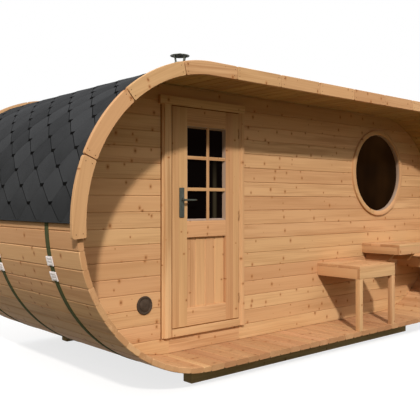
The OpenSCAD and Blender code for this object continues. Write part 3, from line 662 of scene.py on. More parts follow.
def tab(bench, side, place, y):
    """A tab with its tip at this place, feathered at the edge that faces the front."""
    loops = []
    for share in (0, 0.25, 0.5, 0.75, 1.0, 1.5, TAB_LONG / COURSE):
        up = share * COURSE
        half = min(TAB / 2 - TAB_GAP, TIP + (TAB / 2 - TIP) * share)
        y0, y1 = max(-ROOF_EDGE, y - half), min(ROOF_EDGE, y + half)
        top = tab_top(up)
        loops.append(roof_slice(side, min(place + up, HALF), y0, y1, top, top - TAB_THICK,
                                FEATHER if y0 > -ROOF_EDGE else 0.0))
    bench.loft(loops, Y, Z)


def sheet(bench, side, end, low, high0, high1, steps):
    """A plain layer under the tabs, from the eave to this place."""
    bench.loft([roof_slice(side, end * i / steps, -ROOF_EDGE, ROOF_EDGE, high0 + (high1 - high0) * i / steps, low)
                for i in range(steps + 1)], Y, Z, tone=0.5)


print(f"a tab is {TAB:.3f} m wide, {HALF / COURSE:.0f} courses reach the middle of the roof")

# %% [markdown]
# Under each tip the felt gets a dark patch, partly darker grit and partly painted shade of the notch, and along the
# rear edge of each tab a dark line of painted shadow. Painting them in the shader would need the tabs' outlines again,
# so they are thin black pads on the felt, with the outlines that are at hand.

# %% Painted shade at the notches and along the tabs
PATCH = ((0.021, 0.013), (0.014, 0.024), (0.0, 0.031), (-0.002, 0.031))  # how far below the tip, half the width there
PATCH_HIGH, PATCH_THICK = 0.0008, 0.0018
LINE_W, LINE_UNDER, LINE_HIGH, LINE_THICK = 0.012, 0.002, 0.0005, 0.0012


def patch(bench, side, place, y):
    """The dark patch under the tip of a tab: darker grit and painted shade of the notch."""
    loops = []
    for down, wide in PATCH:
        h = tab_top(COURSE - down) + PATCH_HIGH
        loops.append(roof_slice(side, place - down, y - wide, y + wide, h, h - PATCH_THICK))
    bench.loft(loops, Y, Z)


def shadow_line(bench, side, place, y):
    """Painted shadow: the dark line on the felt below, along the edge of a tab that faces the rear."""
    loops = []
    for share in (0, 0.25, 0.5, 0.75, 0.97):
        at = place + share * COURSE
        if at > HALF:
            break
        edge = y + TIP + (TAB / 2 - TIP) * share
        far = edge + min(LINE_W, (TAB - 2 * TIP) * (1 - share))
        h = tab_top(COURSE * (1 + share)) + LINE_HIGH
        loops.append(roof_slice(side, at, edge - LINE_UNDER, far, h, h - LINE_THICK))
    if len(loops) > 1:
        bench.loft(loops, Y, Z)


print("patches", len(PATCH), "outlines each, lines", LINE_W, "m wide")

# %% [markdown]
# Now the roof is laid as a roofer does it: a plain layer, a second one under the first course at the eave, and then
# course by course from both eaves up to the middle, every other course half a tab aside.

# %% Courses
FIRST, LAST = 0.013, 0.05  # the first tips from the eave, the last ones from the middle
FIRST_TABS = (-1.0845, -1.247)  # where even and odd courses start
PATCH_CLEAR, LINE_CLEAR, LAYER_GAP = 0.03, 0.002, 0.0002


def shingle_side(side, word):
    """All tabs and marks from one eave to the middle of the roof."""
    tabs, marks = Bench(), Bench()
    under = tab_top(TAB_LONG) - TAB_THICK - 2 * LAYER_GAP
    sheet(tabs, side, HALF, LAYER_GAP, under, under, 60)
    sheet(tabs, side, FIRST + TAB_LONG, under, HIGH - TAB_THICK - LAYER_GAP, under + LAYER_GAP, 10)
    course = 0
    while FIRST + course * COURSE < HALF - LAST:
        place = FIRST + course * COURSE
        y = FIRST_TABS[course % 2]
        while y - TIP < -FRONT_Y:
            tab(tabs, side, place, y)
            if course and abs(y) < -FRONT_Y - PATCH_CLEAR:
                patch(marks, side, place, y)
            if y + TAB / 2 < -FRONT_Y - LINE_CLEAR:
                shadow_line(marks, side, place, y)
            y += TAB
        course += 1
    tabs.make(word + "_roof_tabs", GRIT, "sauna", "shingle", word + "_shingles", "roof_shingles")
    # the dark pads: painted shade and shadow, with some darker grit
    marks.make(word + "_roof_tab_notches", DARK_GRIT_AND_PAINTED_SHADE, "sauna", "shingle", "roof_shingles")


shingle_side(-1, "left")
shingle_side(1, "right")

# %% [markdown]
# Where the two slopes meet, short caps of the same felt cover the joint. Each is bent over the middle of the roof, and
# its raised front lies on the tail of the cap before it, so a loft between a high and a lower outline is enough.

# %% Caps along the middle of the roof
caps = Bench()
CAP_STEP, CAP_LONG, CAP_HALF, CAP_RISE, CAP_FALL = 0.145, 0.24, 0.155, 0.009, 0.006
CAP_EDGE, CAP_EASE, CAP_BEND, CAP_UNDER = 0.006, 0.004, 0.0015, 0.0062
CAP_FIRST, CAP_LAST = 0.002, 0.02
y = FRONT_Y + CAP_FIRST
while y < -FRONT_Y - CAP_LAST:
    y1 = min(y + CAP_LONG, ROOF_EDGE)
    loops = []
    for at, rise in ((y, HIGH + CAP_RISE), (y1, HIGH + CAP_RISE - CAP_FALL * ((y1 - y) / CAP_LONG))):
        top = MID_Z + STAVE_R + rise
        loops.append([(-CAP_HALF, at, top - CAP_EDGE), (-CAP_HALF + CAP_EASE, at, top - CAP_BEND), (0, at, top),
                      (CAP_HALF - CAP_EASE, at, top - CAP_BEND), (CAP_HALF, at, top - CAP_EDGE),
                      (0, at, top - CAP_UNDER)])
    caps.loft(loops, X, Y)
    y += CAP_STEP
caps.make("roof_ridge_caps", GRIT, "sauna", "shingle", "roof_shingles")

# %% [markdown]
# ## Fascia
# Thirteen boards close each end of the barrel: three curved ones to each side, one that eases into the straight, and
# five straight ones. Each is sawn from a plank, so its grain runs straight even where the board bends. Its corners are
# knocked off, which makes the joints read as fine dark lines, and two nails hold each end.

# %% Curved and straight fascia boards
fascia_lo, fascia_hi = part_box("front_fascia")
FASCIA_RO = fascia_hi.z - MID_Z
FASCIA_RI = FASCIA_RO - 0.104
FASCIA_EASE, BENDS = 0.003, 16
DROP, SWEEP = math.radians(5), math.radians(27)
BOARD = 0.5019
NAIL_IN, NAIL_STRAY, NAIL_SHARES = 0.028, 0.008, (0.26, 0.74)
CORNER = [(0.0, 0.011), (0.0014, 0.0066), (0.0040, 0.0034), (0.0078, 0.0010), (0.0125, 0.0)]


def fascia_point(place, radius):
    """x and z at a place along the oval, in metres of the outer edge from the middle of the roof, to the right."""
    side = -1 if place < 0 else 1
    place = abs(place)
    if place <= END_X:
        return side * place, MID_Z + radius
    turn = (place - END_X) / FASCIA_RO
    return side * (END_X + radius * math.sin(turn)), MID_Z + radius * math.cos(turn)


def fascia_board(bench, nails, start, end, y_face, y_back):
    """A board from one place along the oval to another, with two nails at each end."""
    out = 1 if y_face > y_back else -1
    rows = [(start + a, b) for a, b in CORNER] + [(end - a, b) for a, b in CORNER[::-1]]
    if max(abs(start), abs(end)) > END_X:
        rows = sorted(rows + [(start + (end - start) * i / BENDS, 0.0) for i in range(1, BENDS)])
    e = FASCIA_EASE
    loops = []
    for place, inset in rows:
        r0, r1 = FASCIA_RI + inset, FASCIA_RO - inset
        outline = [(r0, y_back), (r0, y_face - out * e), (r0 + e, y_face), (r1 - e, y_face), (r1, y_face - out * e),
                   (r1, y_back)]
        loops.append([(fascia_point(place, r)[0], y, fascia_point(place, r)[1]) for r, y in outline])
    a, b = fascia_point(start, FASCIA_RI), fascia_point(end, FASCIA_RI)
    chord = Vector((b[0] - a[0], 0, b[1] - a[1]))
    bench.loft(loops, chord, (-chord.z, 0, chord.x))
    for place in (start + NAIL_IN, end - NAIL_IN):
        for share in NAIL_SHARES:
            stray = rng.uniform(-NAIL_STRAY, NAIL_STRAY)
            x, z = fascia_point(place + stray, FASCIA_RI + (FASCIA_RO - FASCIA_RI) * share)
            nails.lathe([(0, 0), (0.0034, 0), (0.0038, 0.0003 * out), (0.0028, 0.0008 * out), (0, 0.0009 * out)],
                        (x, y_face, z), "y", 10)


def fascia(word, y_face, y_back):
    """All boards of one end. The curved ones have wider joints than the straight ones."""
    bench, nails = Bench(), Bench()
    wide, fine = 0.0040, 0.0019
    cuts = [-BOARD * (2.5 - i) for i in range(6)]
    last = END_X + FASCIA_RO * (math.pi / 2 + DROP)
    ends = [last - FASCIA_RO * SWEEP * i for i in range(4)]
    cuts = [-e for e in ends] + cuts + ends[::-1]
    for a, b in zip(cuts, cuts[1:]):
        slits = [wide if abs(c) > END_X else fine for c in (a, b)]
        fascia_board(bench, nails, a + slits[0], b - slits[1], y_face, y_back)
    bench.make(word + "_fascia_boards", PINE, "sauna", "pine", word + "_fascia")
    nails.make(word + "_fascia_nails", RUST, "sauna", "dark_steel")


fascia("front", fascia_lo.y, fascia_hi.y)
fascia("rear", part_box("rear_fascia")[1].y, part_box("rear_fascia")[0].y)

# %% [markdown]
# ## Base beams
# Two heavy stained beams carry the flat of the barrel. Their finish is as pale as the pine: painted light, for the
# light that reaches them in the shade under the floor. They are squared timbers, so a plank with a broader bevel than a
# board's is all that they need.

# %% Beams
beams = Bench()
beam_lo, beam_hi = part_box("base_beams")
BEAM_W, BEAM_EASE = 0.103, 0.006
for y in (beam_lo.y, beam_hi.y - BEAM_W):
    beams.plank((beam_lo.x, y, beam_lo.z), (beam_hi.x, y + BEAM_W, beam_hi.z), "x", BEAM_EASE)
beams.make("base_beam_timbers", BEAM_TIMBER_PAINTED_LIGHT, "sauna", "dark_timber", "base_beams")

# %% [markdown]
# ## Straps and buckles
# Three woven straps pull the lower half together. They are taut, so they follow the staves exactly, and a thin loft
# with softened edges is enough. The weave needs to know where it is on the strap, so the place along and across goes
# into the grain of each point.

# %% Straps
strap_lo, strap_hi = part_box("straps")
STRAP_W, STRAP_T, MIDDLE_STRAP = 0.055, MID_Z - strap_lo.z - STAVE_R, 0.045
STRAP_Y = (strap_lo.y + STRAP_W / 2, MIDDLE_STRAP, strap_hi.y - STRAP_W / 2)


def under_point(place, height):
    """x and z at a place along the barrel's underside, in metres of the staves from the middle of the floor."""
    side = -1 if place < 0 else 1
    place = abs(place)
    if place <= END_X:
        return side * place, MID_Z - STAVE_R - height
    turn = (place - END_X) / STAVE_R
    r = STAVE_R + height
    return side * (END_X + r * math.sin(turn)), MID_Z - r * math.cos(turn)


straps = Bench()
STRAP_OUTLINE = [(-0.5, 0.0), (-0.5, 0.6), (-0.46, 1.0), (0.46, 1.0), (0.5, 0.6), (0.5, 0.0)]
STRAP_STEPS, STRAP_OFF = 120, 0.0001
reach = END_X + ARC
for y in STRAP_Y:
    base, corners = len(straps.points), len(STRAP_OUTLINE)
    loops = []
    for i in range(STRAP_STEPS + 1):
        place = -reach + 2 * reach * i / STRAP_STEPS
        spots = [(w, under_point(place, h * STRAP_T + STRAP_OFF)) for w, h in STRAP_OUTLINE]
        loops.append([(x, y + w * STRAP_W, z) for w, (x, z) in spots])
    straps.loft(loops, X, Y)
    for i in range((STRAP_STEPS + 1) * corners):
        straps.grain[3 * (base + i)] = -reach + 2 * reach * (i // corners) / STRAP_STEPS
        straps.grain[3 * (base + i) + 1] = STRAP_OUTLINE[i % corners][0] * STRAP_W
straps.make("strap_bands", WEAVE, "sauna", "strap", "straps", smooth=50)

# %% [markdown]
# Each strap has two white buckles at the left: a plate with two raised cheeks and three bars across. They are small
# eased blocks, drawn flat and then set on the round of the barrel by a function that moves each point.

# %% Buckles
buckles = Bench()
BUCKLE_W, BUCKLE_H, BUCKLE_DEGREES = 0.084, 0.068, (13.5, 19.1)
CHEEK, CROSSBAR, BAR_IN = 0.012, 0.006, 0.01


def buckle_block(angle, y, w, h, d, ease):
    """A block on the round of the barrel: w along y, h down the strap, d out from the strap's face."""
    r = STAVE_R + STRAP_T
    centre = Vector((-END_X - r * math.cos(angle), y, MID_Z - r * math.sin(angle)))
    out = Vector((-math.cos(angle), 0, -math.sin(angle)))
    down = Vector((math.sin(angle), 0, -math.cos(angle)))

    def place(p):
        return tuple(centre + out * p[2] + down * p[1] + Vector((0, p[0], 0)))

    buckles.plank(*zip(w, h, d), "x", ease, reshape=place)


for y in STRAP_Y:
    for a in map(math.radians, BUCKLE_DEGREES):
        w, h = BUCKLE_W / 2, BUCKLE_H / 2
        buckle_block(a, y, (-w, w), (-h, h), (0.0002, 0.0045), 0.0018)
        for cheek in ((-w, -w + CHEEK), (w - CHEEK, w)):
            buckle_block(a, y, cheek, (-h, h), (0.0, 0.0088), 0.0025)
        for z in (-0.6 * h, 0.0, 0.6 * h):
            buckle_block(a, y, (-w + BAR_IN, w - BAR_IN), (z - CROSSBAR, z + CROSSBAR), (0.003, 0.0075), 0.002)
buckles.make("strap_buckle_plates", BUCKLE_WHITE, "sauna", "buckle", "strap_buckles")

# %% [markdown]
# ## Doorway
# The casing boards are stepped towards the leaf, the header runs past them, and the threshold closes the foot. A casing
# is one outline pushed up from sill to header, and the other boards are planks. A brown seal lines the opening, dark
# enough to be partly painted shade of the gaps round the leaf, and a strip of it beside the left casing is painted
# shade.

# %% Casings, header and threshold
STEP_W, STEP_D, STOP_W, LINING = 0.020, 0.008, 0.020, 0.015
HEAD_Z = HEADER[0].z + STOP_W
JAMB_X0, JAMB_X1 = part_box("door_threshold")[0].x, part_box("door_threshold")[1].x
FACE_Y = casing_l[0].y
leaf_lo, leaf_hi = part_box("door_frame")
STOP_Y = leaf_hi.y + 0.005
COVER, COVER_PROUD = 0.014, 0.015


def casing(bench, jamb, side, width, cover):
    """The upright at one jamb: stop, step and face, and a cover strip on the wall where it has one."""
    e = 0.003
    outline = [(0, FACE_Y + STEP_D + e), (e, FACE_Y + STEP_D), (STEP_W - e, FACE_Y + STEP_D),
               (STEP_W, FACE_Y + STEP_D - e), (STEP_W, FACE_Y + 2 * e), (STEP_W + 0.6 * e, FACE_Y + 0.6 * e),
               (STEP_W + 2 * e, FACE_Y), (width - 2 * e, FACE_Y), (width - 0.6 * e, FACE_Y + 0.6 * e),
               (width, FACE_Y + 2 * e)]
    if cover:
        y = WALL_Y - COVER_PROUD
        outline += [(width, y), (width + cover - e, y), (width + cover, y + e)]
    outline += [(width + cover, WALL_Y), (LINING, WALL_Y), (LINING, WALL_BACK), (-STOP_W, WALL_BACK),
                (-STOP_W, STOP_Y + e), (-STOP_W + e, STOP_Y), (0, STOP_Y)]
    loops = [[(jamb + side * u, y, z) for u, y in outline] for z in (SILL_Z, HEAD_Z)]
    bench.loft(loops, Z, X)


doorway = Bench()
casing(doorway, JAMB_X0, -1, JAMB_X0 - casing_l[0].x - COVER, COVER)
casing(doorway, JAMB_X1, 1, casing_r[1].x - JAMB_X1, 0.0)
# the header gets a paler tone than the wall above it: painted light, for a board standing out of the shade
doorway.plank((HEADER[0].x, HEADER[0].y, HEAD_Z), (HEADER[1].x, WALL_Y, HEADER[1].z), "x", 0.005, tone=0.14)
doorway.plank((JAMB_X0 - LINING, WALL_Y, HEAD_Z), (JAMB_X1 + LINING, WALL_BACK, HEAD_Z + LINING), "x", 0.001)
doorway.plank((JAMB_X0 + STOP_W, STOP_Y, HEAD_Z - STOP_W), (JAMB_X1 - STOP_W, WALL_BACK, HEAD_Z), "x", 0.002)
sill_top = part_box("door_threshold")[1].z
doorway.plank((JAMB_X0, FACE_Y, SILL_Z), (JAMB_X1, STOP_Y, sill_top), "x", 0.004)
doorway.plank((JAMB_X0 + STOP_W, STOP_Y, SILL_Z), (JAMB_X1 - STOP_W, WALL_BACK, sill_top), "x", 0.001)
BEAD_X = JAMB_X1 - 0.0065
doorway.plank((BEAD_X, leaf_lo.y + 0.001, sill_top), (JAMB_X1, leaf_lo.y + 0.016, HEAD_Z - 0.0005), "z", 0.001)
# the seal round the leaf is partly a real seal and partly painted shade of the gaps
seal_and_gap_shade = Bench()
SEAL_Y0, SEAL_Y1, SEAL_W, SEAL_EASE = leaf_lo.y + 0.002, leaf_lo.y + 0.012, 0.006, 0.0015
seal_and_gap_shade.plank((JAMB_X0, SEAL_Y0, sill_top), (JAMB_X0 + SEAL_W, SEAL_Y1, HEAD_Z), "z", SEAL_EASE)
seal_and_gap_shade.plank((JAMB_X0, SEAL_Y0, HEAD_Z - SEAL_W), (BEAD_X, SEAL_Y1, HEAD_Z), "x", SEAL_EASE)
seal_and_gap_shade.plank((JAMB_X0, SEAL_Y0, sill_top), (BEAD_X, SEAL_Y1, leaf_lo.z - 0.002), "x", SEAL_EASE)
# painted shade: a dark strip on the wall beside the left casing, for the shadow gap there
seal_and_gap_shade.plank((casing_l[0].x - 0.007, WALL_Y - 0.003, SILL_Z), (casing_l[0].x, WALL_Y, HEAD_Z), "z", 0.001)
seal_and_gap_shade.make("doorway_seal_and_gap_shade", SEAL_AND_GAP_SHADE, "sauna", "dark_steel")
doorway.make("doorway_boards", PINE, "sauna", "pine", "door_casing_left", "door_casing_right", "door_header",
             "door_threshold")

# %% [markdown]
# ## Door leaf
# A framed leaf: two stiles, three rails, six panes above behind light bars, and four upright boards below. Stiles and
# rails are separate boards so that their grain meets at right angles, as a joiner would have it.

# %% Stiles and rails
pane_lo, pane_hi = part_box("door_glass")
panel_lo, panel_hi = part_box("door_panel")
leaf = Bench()
GLUE, SET_BACK = 0.068, 0.0005  # a stile is glued from two strips, and the rails lie a hair behind the stiles
stiles = (leaf_lo.x, leaf_lo.x + GLUE, pane_lo.x), (pane_hi.x, leaf_hi.x - GLUE, leaf_hi.x)
for edges in stiles:
    for x0, x1 in zip(edges, edges[1:]):
        leaf.plank((x0, leaf_lo.y, leaf_lo.z), (x1, leaf_hi.y, leaf_hi.z), "z", 0.0018)
for z0, z1 in ((leaf_lo.z, panel_lo.z), (panel_hi.z, pane_lo.z), (pane_hi.z, leaf_hi.z)):
    leaf.plank((pane_lo.x, leaf_lo.y + SET_BACK, z0), (pane_hi.x, leaf_hi.y - SET_BACK, z1), "x", 0.0025)
leaf.make("door_leaf_frame", DOOR_PINE, "door", "door_pine", "door_frame")

# %% [markdown]
# The lower part is closed by upright boards with a V between them. Random tones could put four alike side by side, so
# each gets a tone of its own from a short list.

# %% Panel boards
panel = Bench()
PANEL_GAP, PANEL_V, PANEL_TONES = 0.0003, 0.0062, (0.02, 0.70, 0.30, 0.99)
board_w = (panel_hi.x - panel_lo.x) / len(PANEL_TONES)
for i, tone in enumerate(PANEL_TONES):
    x0, x1 = panel_lo.x + i * board_w + PANEL_GAP, panel_lo.x + (i + 1) * board_w - PANEL_GAP
    strip(panel, [(panel_lo.z, x0, x1), (panel_hi.z, x0, x1)], panel_lo.y, panel_hi.y, PANEL_V,
          lambda p, e, d: (e, d, p), Z, X, tone=tone)
panel.make("door_panel_boards", DOOR_PINE, "door", "door_pine", "door_panel")

# %% [markdown]
# One upright and two level bars lie on both faces of the glass and make six panes of it. A slanted bead runs round the
# opening; its four lofts meet in mitres because each outline lies on the diagonal of its corner.

# %% Glazing bars and bead
bars = Bench()
bar_lo, bar_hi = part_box("door_muntins")
BAR, BAR_T, BAR_EASE, BAR_ASIDE = 0.028, 0.008, 0.0022, 0.014
mid_x = (pane_lo.x + pane_hi.x) / 2 + BAR_ASIDE
for y0, y1 in ((bar_lo.y, bar_lo.y + BAR_T), (pane_hi.y, bar_hi.y)):
    bars.plank((mid_x - BAR / 2, y0, pane_lo.z), (mid_x + BAR / 2, y1, pane_hi.z), "z", BAR_EASE)
    for i in (1, 2):
        z = pane_lo.z + (pane_hi.z - pane_lo.z) * i / 3
        bars.plank((pane_lo.x, y0 + 0.0004, z - BAR / 2), (pane_hi.x, y1, z + BAR / 2), "x", BAR_EASE)
bars.make("door_glazing_bars", DOOR_PINE, "door", "door_pine", "door_muntins")

bead = Bench()
BEAD_W, BEAD_BACK = 0.016, pane_lo.y - 0.0002
bead_outline = ((0.0, leaf_lo.y + 0.002), (0.003, leaf_lo.y + 0.0015), (BEAD_W, BEAD_BACK), (0.0, BEAD_BACK))
corners = [(pane_lo.x, pane_lo.z, 1, 1), (pane_hi.x, pane_lo.z, -1, 1), (pane_hi.x, pane_hi.z, -1, -1),
           (pane_lo.x, pane_hi.z, 1, -1)]
for a, b in zip(corners, corners[1:] + corners[:1]):
    loops = [[(x + dx * w, y, z + dz * w) for w, y in bead_outline] for x, z, dx, dz in (a, b)]
    bead.loft(loops, (b[0] - a[0], 0, b[1] - a[1]), Y)
bead.make("door_glazing_bead", BEAD, "door", "door_pine")

# %% [markdown]
# ## Door fittings
# Three small hinges hold the leaf at its right edge. Each has three knuckles on one axis: the middle one belongs to the
# doorway and stays, the outer two turn with the leaf. They are made as two pieces, because a piece rides on one body.

# %% Hinges
hinge_lo, hinge_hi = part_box("door_hinges")
KNUCKLE, PLATE_T, PLATE_EASE, KNUCKLE_GAP = 0.0036, 0.0025, 0.0004, 0.0004
hinge_x, hinge_y, hinge_h = leaf_hi.x, leaf_lo.y - 0.006, 0.084
hinge_z = (hinge_lo.z + hinge_h / 2, (hinge_lo.z + hinge_hi.z) / 2, hinge_hi.z - hinge_h / 2)
fixed, moving = Bench(), Bench()


def barrel(bench, z0, z1):
    """One knuckle, with eased rims."""
    r, e = KNUCKLE, 0.0008
    bench.lathe([(0, z0), (r - e, z0), (r, z0 + e), (r, z1 - e), (r - e, z1), (0, z1)], (hinge_x, hinge_y, 0), "z", 20)


for z in hinge_z:
    low, high = z - hinge_h / 3 / 2, z + hinge_h / 3 / 2
    y0, y1 = hinge_y - PLATE_T / 2, hinge_y + PLATE_T / 2
    barrel(fixed, low, high)
    fixed.plank((hinge_x, y0, low), (JAMB_X1, y1, high), "z", PLATE_EASE)
    fixed.plank((JAMB_X1 - PLATE_T, y0, low), (JAMB_X1, leaf_lo.y + 3 * PLATE_T, high), "z", PLATE_EASE)
    for z0, z1 in ((z - hinge_h / 2, low - KNUCKLE_GAP), (high + KNUCKLE_GAP, z + hinge_h / 2)):
        barrel(moving, z0, z1)
        moving.plank((hinge_lo.x, leaf_lo.y - PLATE_T, z0), (hinge_x, leaf_lo.y, z1), "z", 2 * PLATE_EASE)
        moving.plank((hinge_x - KNUCKLE, hinge_y, z0), (hinge_x, leaf_lo.y, z1), "z", PLATE_EASE)
fixed.make("hinge_knuckles", BRONZE, "sauna", "dark_steel", "hinge_pins")
moving.make("door_hinge_leaves", BRONZE, "door", "dark_steel", "door_hinges")

# %% [markdown]
# At the left a long plate with lightly rounded corners carries the lever, a lock cylinder below it and a screw at each
# end. The plate is a loft of outlines that draw in towards its face; the round parts are turned.

# %% Plate
plate_lo, plate_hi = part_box("handle_plate")
lever_lo, lever_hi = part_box("door_lever")
spindle = Vector(((plate_lo.x + plate_hi.x) / 2, 0, (lever_lo.z + lever_hi.z) / 2))
PLATE_DEPTH, PLATE_CORNER, LOCK_DROP, SCREW_IN = 0.008, 0.006, 0.055, 0.018
plate_face = leaf_lo.y - PLATE_DEPTH


def rounded(x0, x1, z0, z1, r, steps=6):
    """An upright outline with round corners."""
    corners = [(x1 - r, z1 - r, 0), (x0 + r, z1 - r, 90), (x0 + r, z0 + r, 180), (x1 - r, z0 + r, 270)]
    turns = [(cx, cz, math.radians(a + 90 * i / steps)) for cx, cz, a in corners for i in range(steps + 1)]
    return [(cx + r * math.cos(a), cz + r * math.sin(a)) for cx, cz, a in turns]


plate = Bench()
loops = []
for inset, y in ((0.0, leaf_lo.y), (0.0, plate_face + 0.0025), (0.0009, plate_face + 0.0009), (0.0028, plate_face)):
    outline = rounded(plate_lo.x + inset, plate_hi.x - inset, plate_lo.z + inset, plate_hi.z - inset,
                      PLATE_CORNER - inset)
    loops.append([(x, y, z) for x, z in outline])
plate.loft(loops, Z, X)
plate.lathe([(0.0105, 0), (0.0165, 0), (0.0165, -0.003), (0.015, -0.0045), (0.0105, -0.0045)],
            (spindle.x, plate_face, spindle.z), "y", 32)
plate.lathe([(0, 0), (0.009, 0), (0.009, -0.0034), (0.0082, -0.004), (0, -0.004)],
            (spindle.x, plate_face, spindle.z - LOCK_DROP), "y", 28)
plate.plank((spindle.x - 0.0045, plate_face - 0.004, spindle.z - LOCK_DROP - 0.022),
            (spindle.x + 0.0045, plate_face, spindle.z - LOCK_DROP), "z", 0.002)
for z in (plate_lo.z + SCREW_IN, plate_hi.z - SCREW_IN):
    plate.lathe([(0, 0), (0.0042, 0), (0.0036, -0.0014), (0, -0.0018)], (spindle.x, plate_face, z), "y", 16)
plate.make("door_handle_plate", DARK_STEEL, "door", "dark_steel", "handle_plate")

# %% [markdown]
# The lever is a neck and a bar between round and square that tapers to its tip. A power on the sine and cosine gives
# that outline without a modifier. It rides on a body of its own, so that it turns when the handle is pressed.

# %% Lever
lever = Bench()
NECK, LEVER_T, SQUARENESS, CORNERS = 0.0098, 0.015, 0.7, 16
bar_y = lever_lo.y + LEVER_T / 2
lever.lathe([(0, lever_lo.y + 0.002), (NECK * 0.9, lever_lo.y + 0.002), (NECK, lever_lo.y + 0.004),
             (NECK * 0.8, lever_lo.y + 0.024), (NECK * 0.8, lever_hi.y), (0, lever_hi.y)],
            (spindle.x, 0, spindle.z), "y", 28)


def squared(share):
    """A sine or cosine, drawn out towards the corners."""
    return math.copysign(abs(share) ** SQUARENESS, share)


loops = []
for share, fat in ((-0.075, 0.55), (-0.06, 0.86), (0.0, 1.0), (0.5, 0.94), (0.9, 0.86), (0.97, 0.72), (1.0, 0.45)):
    x = spindle.x + (lever_hi.x - spindle.x) * share
    turns = [2 * math.pi * i / CORNERS for i in range(CORNERS)]
    loops.append([(x, bar_y + LEVER_T / 2 * fat * squared(math.cos(a)),
                   spindle.z + LEVER_T / 2 * fat * squared(math.sin(a))) for a in turns])
lever.loft(loops, X, Z)
lever.make("door_handle_lever", DARK_STEEL, "door_handle", "dark_steel", "door_lever", smooth=50)

# %% [markdown]
# ## Round window
# The ring is glued up from six curved blocks, planed round and set on the wall. Each block has its own straight grain.
# A thin bead holds the pane deep inside it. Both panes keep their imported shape, which is right, and only take the
# glass finish.

# %% Ring blocks and panes
window = Bench()
RING_IN = RING_R - 0.050
pane_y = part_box("window_glass")[0].y
LIP, LINING_R = RING_IN + 0.0084, RING_IN + 0.024
BLOCKS, BLOCK_GAP, BLOCK_TURN, BLOCK_STEPS = 6, 0.0006, 0.3, 16
e = 0.006
ring_profile = [(RING_IN, pane_y), (RING_IN, ring_lo.y + e), (RING_IN + 0.3 * e, ring_lo.y + 0.3 * e),
                (RING_IN + e, ring_lo.y), (RING_R - e, ring_lo.y), (RING_R - 0.3 * e, ring_lo.y + 0.3 * e),
                (RING_R, ring_lo.y + e), (RING_R, WALL_Y), (LINING_R, WALL_Y), (LINING_R, WALL_BACK),
                (LIP, WALL_BACK), (LIP, pane_y)]
for i in range(BLOCKS):
    slit = BLOCK_GAP / RING_R
    a0 = 2 * math.pi * i / BLOCKS + slit + BLOCK_TURN
    a1 = 2 * math.pi * (i + 1) / BLOCKS - slit + BLOCK_TURN
    loops = []
    for j in range(BLOCK_STEPS + 1):
        a = a0 + (a1 - a0) * j / BLOCK_STEPS
        loops.append([(WINDOW.x + r * math.cos(a), y, WINDOW.z + r * math.sin(a)) for r, y in ring_profile])
    m = (a0 + a1) / 2
    window.loft(loops, (-math.sin(m), 0, math.cos(m)), (math.cos(m), 0, math.sin(m)))
window.make("window_ring_blocks", PINE, "sauna", "pine", "window_ring", smooth=30)
rim = Bench()
RIM_IN, RIM_OUT, RIM_BACK = RING_IN - 0.005, RING_IN + 0.001, pane_y - 0.0002
rim.lathe([(RIM_IN, RIM_BACK), (RIM_IN, ring_lo.y + 0.016), (RING_IN - 0.003, ring_lo.y + 0.013),
           (RIM_OUT, ring_lo.y + 0.013), (RIM_OUT, RIM_BACK)], (WINDOW.x, 0, WINDOW.z), "y", 96)
rim.make("window_glazing_bead", BEAD, "sauna", "pine")
for node, finish in (("window_glass", WINDOW_GLASS), ("door_glass", DOOR_GLASS)):
    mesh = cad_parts[node].data
    mesh.materials.clear()
    mesh.materials.append(finish)
print("panes finished")

# %% [markdown]
# ## Vent
# A round brown valve low on the wall: a rim, a hollow behind it and a plate in the middle, on a short duct. Cover and
# duct are turned, each from one outline.

# %% Vent cover
vent = Bench()
vent_lo, vent_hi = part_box("vent_cover")
vent_at = ((vent_lo.x + vent_hi.x) / 2, WALL_Y, (vent_lo.z + vent_hi.z) / 2)
R, P = (vent_hi.x - vent_lo.x) / 2, WALL_Y - vent_lo.y  # the cover's radius and how far it stands proud
DUCT_IN, DUCT_R, DUCT_END = 0.046, 0.050, vent_hi.y - WALL_Y
vent.lathe([(0.0, 0.0), (R, 0.0), (R, -0.4 * P), (R - 0.003, -0.8 * P), (R - 0.007, -0.92 * P), (R - 0.013, -0.8 * P),
            (R - 0.016, -0.45 * P), (0.047, -0.40 * P), (0.046, -0.75 * P), (0.042, -0.98 * P), (0.020, -P), (0, -P)],
           vent_at, "y", 64)
vent.lathe([(DUCT_IN, 0.0), (DUCT_R, 0.0), (DUCT_R, DUCT_END), (DUCT_IN, DUCT_END)], vent_at, "y", 48)
vent.make("vent_valve", VENT_BROWN, "sauna", "vent_brown", "vent_cover")

# %% [markdown]
# ## Flue
# A steel pipe stands on the roof in a cone-shaped flashing with a collar round its top. All three are turned, each from
# its own outline; the pipe's outline has an inner radius, so it is hollow like the real one.

